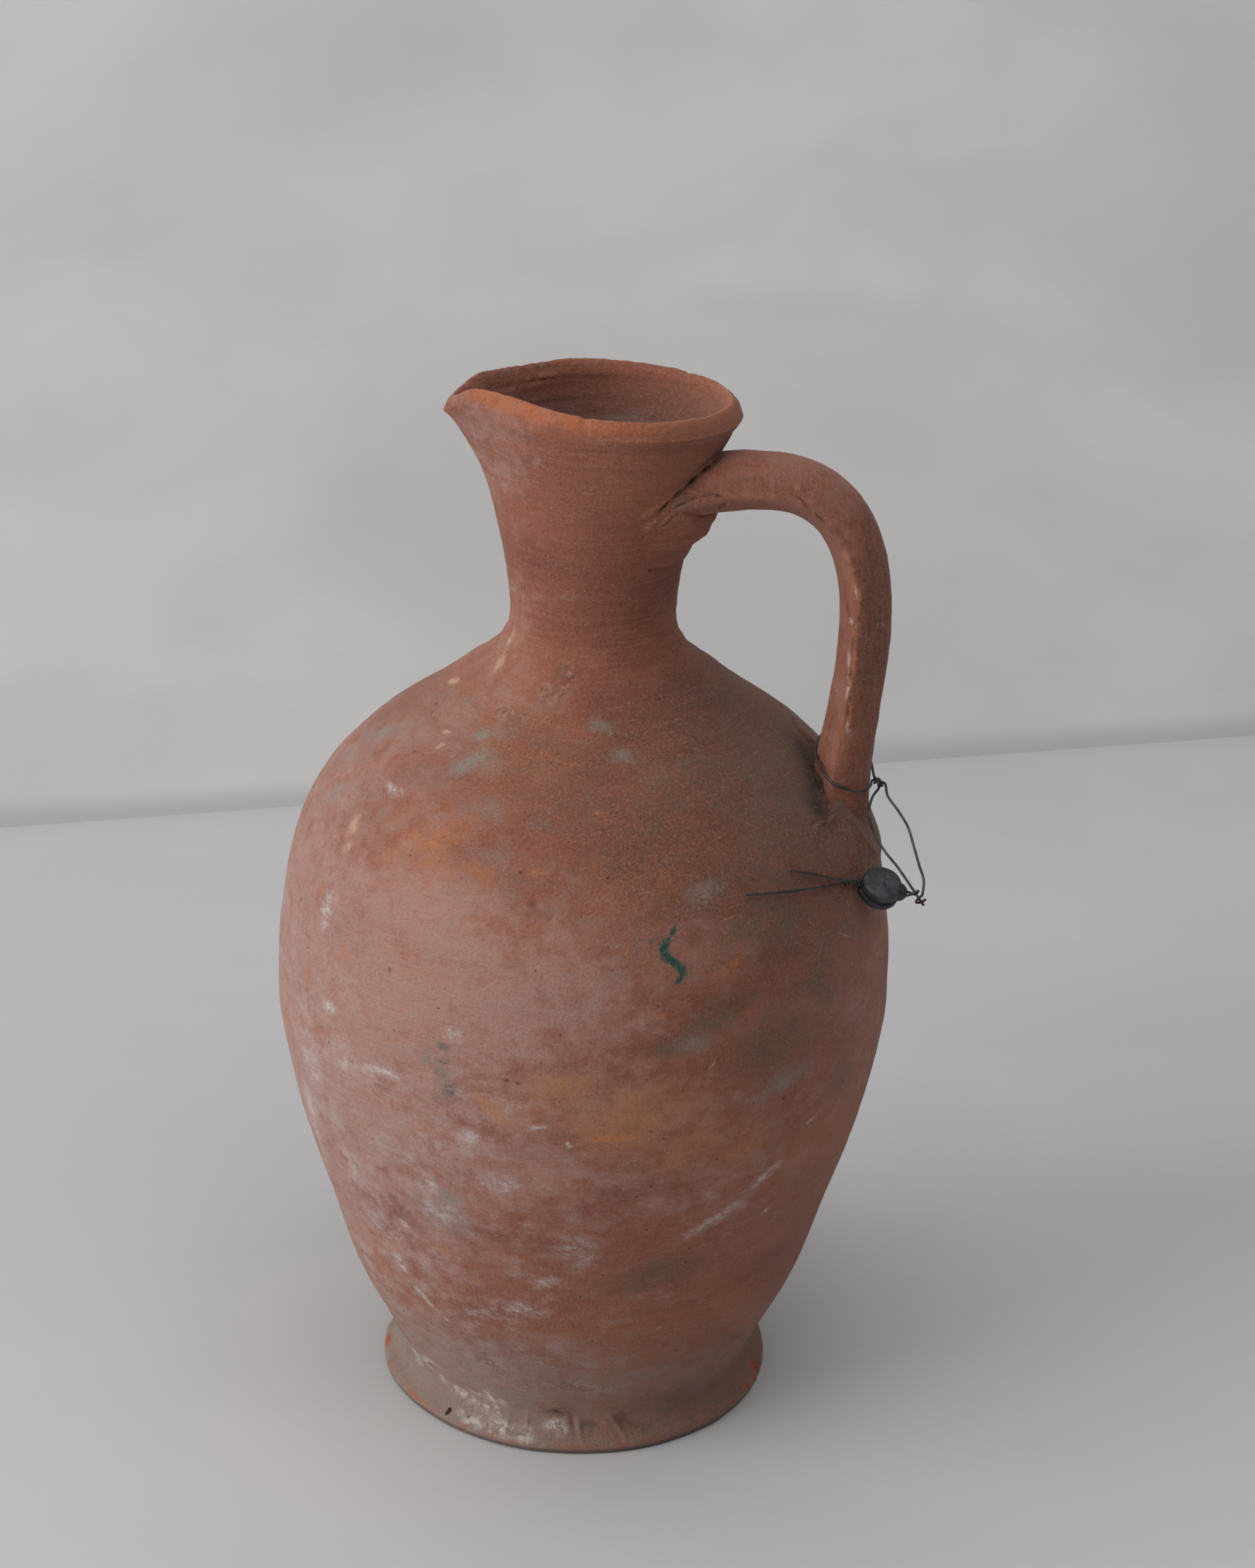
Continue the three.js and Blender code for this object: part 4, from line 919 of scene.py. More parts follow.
def make_pendant():
    across = PENDANT_RIGHT[-1] - HOOK
    right = unit(across - LEG_WAY * np.dot(across, LEG_WAY))
    front = np.cross(LEG_WAY, right)
    wrap = []
    for t in np.linspace(0, 1, 16):
        angle = 0.3 + 2 * math.pi * WRAP_TURNS * t
        aside = right * math.cos(angle) + front * math.sin(angle)
        wrap.append(HOOK + LEG_WAY * (WRAP_START + WRAP_LENGTH * t) + WRAP_RADIUS * aside)
    bend = hook_round(EYE_FOOT, -EYE_AXIS, EYE_NORMAL)
    line = [HOOK + LEG_WAY * 4.6] + PENDANT_LEFT[::-1] + bend + PENDANT_RIGHT + wrap
    return wire("wire_pendant", smooth_line(line, 560), 403)


# The seal
SEAT, _normal, _up, _side = on_shoulder(0.867, 1.021, 0.291)
SEAL_FACE = unit(_normal * 0.643 + _up * 0.67 + _side * 0.371)
_along = _normal * 0.755 - _up * 0.475 - _side * 0.452
SEAL_ALONG = unit(_along - SEAL_FACE * np.dot(_along, SEAL_FACE))
SEAL_SIDE = np.cross(SEAL_FACE, SEAL_ALONG)


def seal_place(along, side, face):
    along, side, face = np.broadcast_arrays(along, side, face)
    return SEAT + along[..., None] * SEAL_ALONG + side[..., None] * SEAL_SIDE + face[..., None] * SEAL_FACE


def make_seal():
    half, edge = SEAL_THICKNESS / 2, 0.8
    line = [(0.2, -half), (2.5, -half), (SEAL_RADIUS - 1.3, -half), (SEAL_RADIUS - 0.35, -half + 0.3)]
    line += [(SEAL_RADIUS, -half + edge), (SEAL_RADIUS - 0.05, -SEAL_SLOT * 0.8)]
    line += [(SEAL_RADIUS - 1.2, -SEAL_SLOT * 0.3), (SEAL_RADIUS - 1.2, SEAL_SLOT * 0.3)]
    line += [(SEAL_RADIUS - 0.1, SEAL_SLOT * 0.8), (SEAL_RADIUS - 0.2, half - edge)]
    line += [(SEAL_RADIUS - 0.5, half - 0.3), (SEAL_RADIUS - 1.4, half), (2.5, half), (0.2, half)]
    dense = []
    for a, b in zip(line, line[1:]):
        for t in np.linspace(0, 1, max(2, int(math.dist(a, b) / 0.22)), endpoint=False):
            dense.append((a[0] + (b[0] - a[0]) * t, a[1] + (b[1] - a[1]) * t))
    dense = np.array(dense + [line[-1]])
    turn = np.linspace(0, 2 * np.pi, 150, endpoint=False)

    def waver(spread, height, size, seed):
        return noise(polar(spread, turn, height + 0 * turn), size, seed)[None, :]

    r, f = dense[:, :1], dense[:, 1:]
    rim = step(2.0, SEAL_RADIUS, r)
    r = r * (1 + 0.035 * waver(3, 0, 2.0, 503) * rim)
    f = f * (1 + 0.05 * waver(2, 9, 1.7, 505))
    grid = seal_place(r * np.cos(turn), r * np.sin(turn), f)
    n = normals_of(grid)
    n = n if np.sum(n * (grid - SEAT)) > 0 else -n
    grid = grid + n * (0.10 * fractal(grid, 2.4, 501, 3))[..., None]
    return ring_skin("seal_cheeks", grid, crease=50)


def make_seal_lump():
    turn = np.linspace(0, 2 * np.pi, 48, endpoint=False)
    rings = []
    root = SEAL_RADIUS - 1.2
    for t in np.linspace(0, 1, 22):
        size = math.sqrt(max(1 - (0.35 + 0.65 * t) ** 4, 0.0)) * 1.02 + 0.02
        along = root - 1.0 + t * (SEAL_LUMP + 2.2)
        rings.append(seal_place(along + 0 * turn, size * 3.1 * np.cos(turn), size * 2.7 * np.sin(turn)))
    rings = np.array(rings)
    centre = rings.mean((0, 1))
    rings = rings + 0.16 * fractal(rings, 1.9, 507, 3)[..., None] * (rings - centre) / 3
    return ring_skin("seal_lump", rings, crease=60)


def twist_row(line, phase, steps):
    """Points on one of the two strands that are twisted round a line."""
    length = np.linalg.norm(np.diff(line, axis=0), axis=1).sum()
    t = np.linspace(0, 1, steps)
    at = np.stack([np.interp(t, np.linspace(0, 1, len(line)), line[:, k]) for k in range(3)], -1)
    along = np.gradient(at, axis=0)
    rows = []
    for share, p, way in zip(t, at, along):
        way = unit(way)
        side = unit(np.cross(SEAL_FACE, way))
        up = np.cross(way, side)
        angle = phase + 2 * math.pi * length * share / TWIST_PITCH
        rows.append(p + STRAND_OFF * (side * math.cos(angle) + up * math.sin(angle)))
    return rows


def make_seal_wire():
    exit_ = seal_place(-SEAL_RADIUS, 0, 0)
    straight = seal_place(-SEAL_RADIUS - TWIST_PITCH / 5, 0, 0)
    twist = smooth_line([exit_, straight, TWIST_END], 60)
    mouth = seal_place(SEAL_RADIUS + SEAL_LUMP, 0, 0)
    forwards = HOOK - mouth
    forwards = unit(forwards - LEG_WAY * np.dot(forwards, LEG_WAY))
    sideways = np.cross(LEG_WAY, forwards)
    if np.dot(sideways, SEAL_SIDE) < 0:
        sideways = -sideways

    def lane(side):
        return [seal_place(SEAL_RADIUS + SEAL_LUMP, side, 0), seal_place(0, side, 0)]

    first = twist_row(twist, 0, 17)[::-1] + lane(-STRAND_OFF)[::-1]
    last = lane(STRAND_OFF) + twist_row(twist, math.pi, 17)
    line = TAIL_LOWER[::-1] + first + hook_round(HOOK, forwards, sideways) + last + TAIL_UPPER
    return wire("wire_seal", smooth_line(line, 900), 405)


# Materials
def srgb(r, g, b):
    def one(c):
        c /= 255
        return c / 12.92 if c <= 0.04045 else ((c + 0.055) / 1.055) ** 2.4

    return (one(r), one(g), one(b), 1.0)


SPOT_DEPTH = 12.0  # how far a spot on the wall reaches into it


class Paint:
    """A material whose colour, roughness and bump are mixed layer by layer from node patterns."""

    def __init__(self, name, base, rough):
        self.material = bpy.data.materials.new(name)
        self.material.use_nodes = True
        self.nodes, self.links = self.material.node_tree.nodes, self.material.node_tree.links
        self.shader = self.nodes["Principled BSDF"]
        self.place = self.node("TexCoord").outputs["Object"]
        self.colour, self.rough = self.node("RGB").outputs[0], self.node("Value").outputs[0]
        self.colour.default_value, self.rough.default_value = srgb(*base), rough

    def node(self, kind, inputs=None):
        """A new node. Inputs that are sockets are linked to it, and others are set."""
        node = self.nodes.new("ShaderNode" + kind)
        for socket, value in (inputs or {}).items():
            if isinstance(value, bpy.types.NodeSocket):
                self.links.new(value, node.inputs[socket])
            else:
                node.inputs[socket].default_value = value
        return node

    def math(self, operation, *values, clamp=False):
        node = self.node("Math", dict(enumerate(values)))
        node.operation, node.use_clamp = operation, clamp
        return node.outputs[0]

    def vector_math(self, operation, *values):
        node = self.node("VectorMath", dict(enumerate(values)))
        node.operation = operation
        return node

    def plus(self, value, factor, more):
        """The value times the factor, plus more."""
        return self.math("MULTIPLY_ADD", value, factor, more)

    def times(self, *values):
        total = values[0]
        for value in values[1:]:
            total = self.math("MULTIPLY", total, value)
        return total

    def ramp(self, value, low, high, out_low=0.0, out_high=1.0, smooth=True):
        """From out_low at low to out_high at high, and level beyond them."""
        node = self.node("MapRange", {
            "Value": value, "From Min": low, "From Max": high, "To Min": out_low, "To Max": out_high,
        })
        node.interpolation_type = "SMOOTHSTEP" if smooth else "LINEAR"
        return node.outputs["Result"]

    def scaled(self, scale, shift=(0, 0, 0), place=None):
        place = place or self.place
        return self.node("Mapping", {"Vector": place, "Scale": scale, "Location": shift}).outputs[0]

    def cloud(self, size, detail=4, rough=0.55, stretch=(1, 1, 1), shift=0.0, warp=0.0):
        """Noise from 0 to 1, with features about size millimetres across."""
        node = self.node("TexNoise", {
            "Scale": 1.0, "Detail": detail, "Roughness": rough, "Distortion": warp,
        })
        scale = tuple(1000 / size / s for s in stretch)
        self.links.new(self.scaled(scale, (shift, shift * 1.7, shift * 0.6)), node.inputs["Vector"])
        return node.outputs["Fac"]

    def cells(self, size, shift):
        """The distance from the nearest of many scattered points."""
        node = self.node("TexVoronoi", {"Scale": 1.0})
        place = self.scaled((1000 / size,) * 3, (shift, shift * 0.7, shift * 1.3))
        self.links.new(place, node.inputs["Vector"])
        return node.outputs["Distance"]

    def axis(self, letter):
        """X, Y or Z in millimetres."""
        return self.times(self.node("SeparateXYZ", {0: self.place}).outputs[letter], 1000.0)

    def facing_axis(self):
        """1 where the skin faces the jug's axis, as it does inside the mouth."""
        normal = self.node("TexCoord").outputs["Normal"]
        node = self.vector_math("DOT_PRODUCT", normal, self.scaled((30, 30, 0)))
        return self.ramp(node.outputs["Value"], -0.1, -0.4)

    def warped(self, amount, size):
        """The place, shifted about by some millimetres, for ragged edges."""
        node = self.node("TexNoise", {
            "Vector": self.place, "Scale": 1000 / size, "Detail": 4, "Roughness": 0.65,
        })
        centred = self.vector_math("SUBTRACT", node.outputs["Color"], (0.5, 0.5, 0.5))
        shift = self.vector_math("SCALE", centred.outputs[0])
        shift.inputs["Scale"].default_value = amount * 2 * MM
        return self.vector_math("ADD", self.place, shift.outputs[0]).outputs[0]

    def ball(self, centre, turned, size, edge, place):
        """A soft ball round a centre, turned and stretched, its half sizes in millimetres."""
        node = self.node("Mapping", {
            "Vector": place or self.place, "Location": centre * MM,
            "Rotation": turned.to_euler("XYZ"), "Scale": [half * MM for half in size],
        })
        node.vector_type = "TEXTURE"
        gradient = self.node("TexGradient", {0: node.outputs[0]})
        gradient.gradient_type = "SPHERICAL"
        return self.ramp(gradient.outputs["Fac"], 0.0, edge)

    def spot(self, turn, z, wide, high, lean=0.0, edge=0.5, place=None, radius=None):
        """A soft oval on the wall at an azimuth and a height, wide and high in millimetres."""
        r = float(outer_radius(z)) if radius is None else radius
        a = math.radians(turn)
        slope = float(outer_slope(z)) if radius is None else 0.0
        outwards = Vector((math.cos(a), math.sin(a), 0))
        side = Vector((-math.sin(a), math.cos(a), 0))
        up = (outwards * slope + Vector((0, 0, 1))).normalized()
        turned = Matrix((side, up, side.cross(up))).transposed().to_3x3()
        turned = turned @ Matrix.Rotation(math.radians(lean), 3, "Z")
        centre = outwards * r + Vector((0, 0, z))
        return self.ball(centre, turned, (wide, high, SPOT_DEPTH), edge, place)

    def stroke(self, a, b, width, edge=0.5, place=None):
        """A soft mark along the segment from a to b, width millimetres to each side."""
        a, b = Vector([float(c) for c in a]), Vector([float(c) for c in b])
        way = b - a
        along = way.normalized() if way.length > 1e-6 else Vector((0, 0, 1))
        size = (way.length / 2 + width, width, width)
        return self.ball((a + b) / 2, along.to_track_quat("X", "Z"), size, edge, place)

    def path(self, points, width, edge=0.5, place=None):
        pairs = zip(points, points[1:])
        return self.gather(self.stroke(a, b, width, edge, place) for a, b in pairs)

    def gather(self, masks):
        """The strongest of the masks, joined one by one as they are made."""
        total = None
        for mask in masks:
            total = self.math("MAXIMUM", total, mask) if total else mask
        return total

    def lay(self, colour, *masks, rough=None):
        """Lays a colour over what is there, by the product of some masks."""
        mask = self.times(*masks)
        mix = self.node("Mix")
        mix.data_type, mix.blend_type = "RGBA", "MIX"
        self.links.new(mask, mix.inputs["Factor"])
        self.links.new(self.colour, mix.inputs[6])
        mix.inputs[7].default_value = srgb(*colour)
        self.colour = mix.outputs[2]
        if rough is not None:
            self.rough = self.math("ADD", self.rough, self.times(mask, rough))

    def bump(self, height, strength, distance):
        node = self.node("Bump", {"Height": height, "Strength": strength, "Distance": distance * MM})
        self.links.new(node.outputs[0], self.shader.inputs["Normal"])

    def done(self, metallic=0.0, specular=0.5):
        inputs = self.shader.inputs
        self.links.new(self.colour, inputs["Base Color"])
        self.links.new(self.math("MULTIPLY", self.rough, 1.0, clamp=True), inputs["Roughness"])
        inputs["Metallic"].default_value = metallic
        inputs["Specular IOR Level"].default_value = specular
        return self.material


def fired_clay(name):
    """The clay of every piece: red-brown, clouded and gritty."""
    p = Paint(name, (150, 92, 73), 0.88)
    p.lay((170, 108, 78), p.ramp(p.cloud(72, 3, 0.6, (1, 1, 0.7), 3.1), 0.46, 0.66, 0, 0.6))
    p.lay((124, 70, 58), p.ramp(p.cloud(34, 5, 0.66, (1.7, 1.7, 0.7), 9.2), 0.50, 0.68, 0, 0.65))
    p.mottle = p.cloud(5.5, 7, 0.75, (1.25, 1.25, 0.9), 5.0)
    p.fine = p.cloud(1.1, 4, 0.75, shift=2.0)
    p.sand = p.cloud(0.6, 2, 0.6, shift=8.0)
    p.crumbs = p.ramp(p.plus(p.sand, 0.5, p.fine), 0.62, 0.88, 0.55, 1.1)
    p.patches = p.cloud(40, 5, 0.66, (1.3, 1.3, 0.8), 23.0)
    return p


def film(p, colour, strength, low, high, *parts):
    """A ragged film: parts are (mask, weight) pairs, added up before the edge is cut."""
    total = p.times(*parts[0])
    for mask, weight in parts[1:]:
        total = p.plus(mask, weight, total)
    p.lay(colour, p.ramp(total, low, high, 0, strength), p.crumbs)


def grit(p):
    """Specks, pits and the surface's grain, laid on last."""
    dark = p.ramp(p.cells(6.5, 3.0), 0.035, 0.095, 1, 0)
    dark = p.times(dark, p.ramp(p.cloud(4.0, 3, 0.6, shift=21.0), 0.46, 0.56))
    p.lay((92, 46, 40), dark, 0.7)
    p.lay(
        (206, 182, 166), p.ramp(p.cells(4.7, 11.0), 0.025, 0.055, 1, 0),
        p.ramp(p.mottle, 0.48, 0.6, 0, 0.5),
    )
    p.lay((84, 54, 44), p.ramp(p.fine, 0.53, 0.72, 0, 0.42))
    p.lay((196, 158, 144), p.ramp(p.fine, 0.45, 0.28, 0, 0.24))
    p.lay((92, 62, 52), p.ramp(p.sand, 0.56, 0.74, 0, 0.34))
    p.lay((204, 174, 160), p.ramp(p.sand, 0.43, 0.28, 0, 0.22))
    grain = p.plus(p.mottle, 0.5, p.fine)
    p.bump(p.plus(dark, -0.8, grain), 0.8, 0.55)


def wall_marks(p, loose, ragged, torn):
    """Every mark that lies at its own place on the thrown wall."""
    def at(turn, z, wide, high, lean=0.0, edge=0.5, warp=None):
        return p.spot(turn, z, wide, high, lean, edge, ragged if warp is None else warp)

    def some(*rows, edge=0.5, warp=None):
        return p.gather(at(*row, edge=edge, warp=warp) for row in rows)

    streaky = p.ramp(p.cloud(2.6, 5, 0.75, (2.6, 2.6, 0.8), 31.0), 0.42, 0.58)
    speckled = p.ramp(p.mottle, 0.40, 0.60)
    # Orange wiped areas
    orange = some(
        (-80, 137, 32, 21), (-70, 126, 26, 14, 14), (-93, 148, 15, 11), (-60, 123, 16, 9, 20),
        edge=0.9, warp=loose,
    )
    p.lay((180, 122, 84), orange, p.plus(speckled, 0.45, 0.4))
    wiped = some(
        (-127, 209, 24, 7.5, -10), (-134, 205, 8, 4.5, 20), (-112, 207, 13, 5, -8),
        (-122, 213, 10, 3, 10),
        edge=1.0, warp=loose,
    )
    p.lay((178, 114, 76), wiped, p.plus(streaky, 0.4, 0.25))
    brightest = some(
        (-84, 131.5, 12, 5, 4), (-133.2, 205.6, 4.2, 2.2, 30), (-127, 211, 10, 2, -8),
        edge=0.9,
    )
    p.lay((200, 130, 80), brightest, p.plus(streaky, 0.6, 0.1))
    spots = some(
        (-86.8, 222.4, 3, 1), (-93.7, 231.7, 3.4, 1.2), (-82, 189.3, 1.6, 2.4, 30),
        (-61.6, 182.4, 2.4, 2), (-59.7, 128.7, 5, 2.4, 20), (-69, 70.7, 0.9, 1.8, -20),
        (-139.6, 174.7, 4.5, 4.5), (-119.4, 176.5, 10, 1.4, 3), (-145.3, 119.6, 1.2, 2.4, 12),
        (-66, 180, 6, 2, 20), (-150, 160, 2, 10, 5), (-150, 185, 1.6, 8, 3), (-137, 181, 1, 3.5, -20),
        (-100, 209, 5, 1.6, 0), (-76, 170, 3, 1.6, 10), (-112, 70, 2, 1.5),
        edge=0.9,
    )
    p.lay((192, 118, 74), spots, streaky, 0.8)
    ochre = p.gather([
        p.stroke(wall_place(-109.2, 143.8), wall_place(-101.8, 132.2), 2.6, 0.5, ragged),
        at(-132.6, 72.5, 4.0, 1.6, -24), at(-119.0, 80.3, 3.4, 3.0),
    ])
    p.lay((184, 130, 94), ochre, p.plus(speckled, 0.35, 0.4))
    # Grey and tan patches
    grey = some(
        (-168, 225, 20, 7, 22), (-175, 213, 9, 8, 22), (-125, 228.5, 11, 7.5, 24),
        (-127, 235, 8, 3.4, 0), (-162, 208, 4.5, 8, 16), (-118, 94, 14, 9, 0), (-116, 103, 7, 7, 0),
        (-77.5, 233, 6, 4.5), (-66, 204, 7, 4, 10), (-86, 240, 8, 4, 0), (-52, 142, 20, 6, 14),
        (-70, 160, 10, 6, 0),
        edge=1.0, warp=loose,
    )
    p.lay((142, 132, 122), grey, p.plus(speckled, 0.45, 0.5))
    tan = some(
        (-146.8, 201, 3.4, 3.4), (-148.2, 206, 3.4, 6, 8), (-144.7, 232.5, 2.6, 1.4, 16),
        (-142, 229.5, 1.6, 2.4, -20), (-153, 249.5, 2.4, 6, 14), (-158, 255.5, 2.2, 4.4, 10),
        (-170, 240, 5, 2, 20),
        edge=0.8,
    )
    p.lay((204, 166, 138), tan, p.plus(speckled, 0.4, 0.4))
    # Olive dirt on the right
    olive = some(
        (-54, 156, 28, 16, 12), (-66, 168, 18, 9, 20), (-48, 191, 18, 9, 10), (-34, 132, 16, 10),
        (-60, 190, 12, 6), (-75, 160, 10, 6), (-42, 168, 10, 14), (-72, 76, 22, 9, 8),
        edge=1.0, warp=loose,
    )
    p.lay((108, 92, 74), olive, p.plus(speckled, 0.45, 0.4))
    # White salts that have their own places
    salts = some(
        (-128, 141.5, 16, 3, 10), (-137, 138.5, 6, 4), (-141.9, 153.7, 6, 4), (-119.7, 106, 6, 7),
        (-118, 96, 11, 9), (-128.6, 85.6, 5.5, 2), (-129, 56, 13, 2.2, -36), (-133, 66, 6, 6),
        (-101.5, 62, 12, 5), (-89.5, 88, 9, 12), (-97.2, 134.8, 3.4, 1.4), (-92, 129.6, 1.8, 1.1),
        (-144, 218.1, 6, 2.2), (-150, 128, 9, 12), (-62, 96, 18, 4, 26), (-52, 108, 11, 3, 30),
        (-48.9, 92.4, 2.8, 1.4, 30), (-43, 122, 7, 1.4, 24), (-156, 104, 6, 26), (-113, 160, 4, 4),
        (-146.5, 182.6, 6, 12), (-140, 100, 8, 10), (-110, 128, 7, 4), (-104, 112, 12, 6),
        (-96, 74, 9, 4),
        edge=1.0,
    )
    crusted = p.cloud(3.0, 7, 0.8, (1.5, 1.5, 0.9), 41.0)
    p.lay((208, 196, 193), salts, p.ramp(crusted, 0.42, 0.62, 0.1, 0.9))
    scratches = p.gather(
        p.stroke(wall_place(a, z), wall_place(b, w), 0.45, 0.6, torn)
        for a, z, b, w in (
            (-36, 181, -31.5, 176.6), (-64.2, 194.6, -60, 195.6), (-68, 150, -66, 154),
            (-94, 183.7, -93, 185.5), (-107, 92, -101, 91), (-125.5, 52, -119, 46), (-62, 88, -52, 98),
            (-56, 100, -46, 112), (-66, 296.2, -55, 297.4), (-57, 299.4, -54, 294.6),
            (-72, 318.6, -63, 321.6),
        )
    )
    p.lay((206, 190, 180), scratches, speckled, 0.7)
    # Smears of teal and blue-green paint
    teal = p.gather(
        p.path([wall_place(*place) for place in places], width, edge, torn)
        for width, edge, places in (
            (1.1, 0.8, ((-72.8, 195.2), (-73.9, 192.6), (-74.9, 190.4))),
            (2.1, 0.6, ((-74.8, 191.2), (-75.4, 188.4), (-74.2, 186))),
            (1.9, 0.6, ((-74.4, 186.6), (-72.8, 184.6), (-71.9, 182.6))),
            (1.3, 0.7, ((-71.9, 183), (-72.2, 181), (-73.2, 179.6))),
        )
    )
    haze = some(
        (-76.4, 190, 3.2, 6), (-77.5, 191.5, 2.4, 2.4), (-71, 182, 2.4, 3),
        edge=1.0, warp=torn,
    )
    p.lay((70, 98, 88), haze, p.ramp(p.fine, 0.40, 0.60, 0.05, 0.6))
    p.lay((26, 84, 76), teal, p.ramp(p.fine, 0.30, 0.55, 0.7, 1.0))
    brushed = p.ramp(p.cloud(1.2, 4, 0.7, (3.2, 3.2, 0.7), 51.0), 0.44, 0.56)
    washed = some(
        (-115, 148.5, 5, 8), (-113.8, 142, 4.5, 5, -40), (-118, 151, 3.5, 5),
        edge=1.0,
    )
    p.lay((128, 128, 118), washed, p.plus(brushed, 0.5, 0.3))
    daubs = some(
        (-114.6, 151.4, 3.6, 1.5), (-115.5, 147, 3, 1.2), (-113.6, 143, 3.6, 3.6, -34),
        edge=0.8, warp=torn,
    )
    blue = p.gather([at(-114.8, 156.0, 3.8, 1.9, edge=0.9, warp=torn), p.times(daubs, brushed, 0.8)])
    p.lay((80, 96, 98), blue, p.ramp(p.fine, 0.42, 0.56, 0.35, 0.85))
    # Small dark marks
    dots = some(
        (-127.2, 174.6, 0.9, 1.1), (-103, 148.9, 1.4, 0.9, -10), (-101, 148.6, 1.6, 0.6, -10),
        (-54.3, 203.5, 1, 0.6), (-53, 281.9, 0.7, 0.7), (-163, 235, 1, 0.8),
        edge=0.6, warp=torn,
    )
    lines = p.gather(
        p.stroke(wall_place(a, z), wall_place(b, w), width, 0.6, torn)
        for a, z, b, w, width in (
            (-75.8, 130.6, -73.8, 129.8, 0.5), (-78.2, 133.7, -76.4, 132.9, 0.4),
            # The stroke from (-99.9, 200.8) to (-96.6, 197.8) is painted shade in the gouge carved there
            (-86.9, 136.4, -85.4, 136.2, 0.4), (-99.9, 200.8, -96.6, 197.8, 0.8),
            (-67.4, 151.8, -68.2, 148.2, 0.4), (-68.2, 148.2, -69.2, 144.2, 0.45),
        )
    )
    p.lay((66, 54, 52), p.gather([dots, lines]), p.ramp(p.fine, 0.36, 0.56, 0.2, 0.75))
    # Dirt in the torn patches at the root of the neck
    torn_dirt = some(
        (-104.5, 250.5, 7, 8), (-126, 240.5, 7.5, 3.6), (-80.4, 238.2, 5, 2.4), (-112, 246, 6, 4),
        (-113, 33, 10, 4), (-92, 27, 14, 5), (-84, 24, 9, 3), (-104, 25, 8, 4), (-122, 28, 5, 5),
        (-70, 52, 2, 2), (-60, 60, 3, 2),
        edge=1.0,
    )
    flecks = p.cloud(2.2, 5, 0.75, shift=61.0)
    p.lay((96, 82, 70), torn_dirt, p.ramp(flecks, 0.50, 0.60, 0, 0.75))
    p.lay((186, 166, 152), torn_dirt, p.ramp(flecks, 0.47, 0.40, 0, 0.5))


def foot_marks(p, ragged, torn):
    """Lime and plaster dust on the foot, dark corners, and clay worn to orange along its lower edge."""
    def some(*rows, edge=0.9, warp=None):
        return p.gather(
            p.spot(*row, edge, ragged if warp is None else warp, radius=float(foot_radius(row[1])))
            for row in rows
        )

    x, z = p.axis("X"), p.axis("Z")
    left = p.ramp(x, 30, -46, 0, 1)
    flank = p.ramp(z, 17, 8)
    film(
        p, (122, 100, 86), 0.82, 0.40, 0.76, (p.patches, 0.4), (p.mottle, 0.4), (flank, 0.2),
        (left, -0.1),
    )
    film(
        p, (150, 135, 124), 0.82, 0.54, 0.88, (p.patches, 0.4), (p.mottle, 0.45), (left, 0.32),
        (flank, 0.10),
    )
    lime = some(
        (-104, 4.8, 5, 4, 0), (-112, 5.2, 7, 3.4, 0), (-122, 4.6, 9, 2.6, 0), (-95, 7.6, 5, 3, 0),
        (-116, 9, 5, 3, 0), (-127, 10.5, 10, 3, -14), (-118, 14, 10, 3.4, -14), (-134, 13, 6, 4, 0),
        (-150, 14, 6, 4, 0), (-140, 17, 8, 5, 0),
    )
    p.lay((212, 202, 197), lime, p.ramp(p.cloud(3.2, 6, 0.78, shift=41.0), 0.43, 0.57, 0.05, 0.92))
    dark = some(
        (-93.5, 12.4, 7, 3, 0), (-77.5, 9.8, 2.2, 2.6, 0), (-85, 7.5, 6, 3.4, 0), (-160, 11, 3, 3, 0),
        (-69, 6, 5, 2, 0),
    )
    p.lay((92, 78, 68), dark, p.ramp(p.mottle, 0.40, 0.58, 0.15, 0.8))
    p.lay((40, 38, 40), some((-130.5, 4.4, 0.9, 1.4, 0), edge=0.5, warp=torn))
    broken = p.ramp(p.cloud(9, 5, 0.66, (1, 1, 3), 29.0), 0.49, 0.60)
    arris = p.times(
        p.ramp(z, 1.9, 2.7), p.ramp(z, 4.2, 3.2), broken, p.ramp(p.axis("Y"), 20, -20, 0.3, 1.0),
    )
    p.lay((168, 96, 68), arris, 0.6)
    # Painted shade along the foot's lowest edge, where it stands on the floor
    p.lay((104, 88, 80), p.ramp(z, 2.3, 1.6), 0.85)
    chips = some(
        (-14.5, 3.6, 3.2, 2.8, 0), (-19.5, 3, 2.4, 2.2, 0), (-25, 3.2, 1.8, 1.8, 0),
        (-176, 3.6, 4, 1.8, 0), (170, 3.4, 3.4, 1.8, 0), (60, 3.2, 4, 1.8, 0),
        edge=0.5, warp=torn,
    )
    p.lay((176, 86, 50), chips, 0.9)


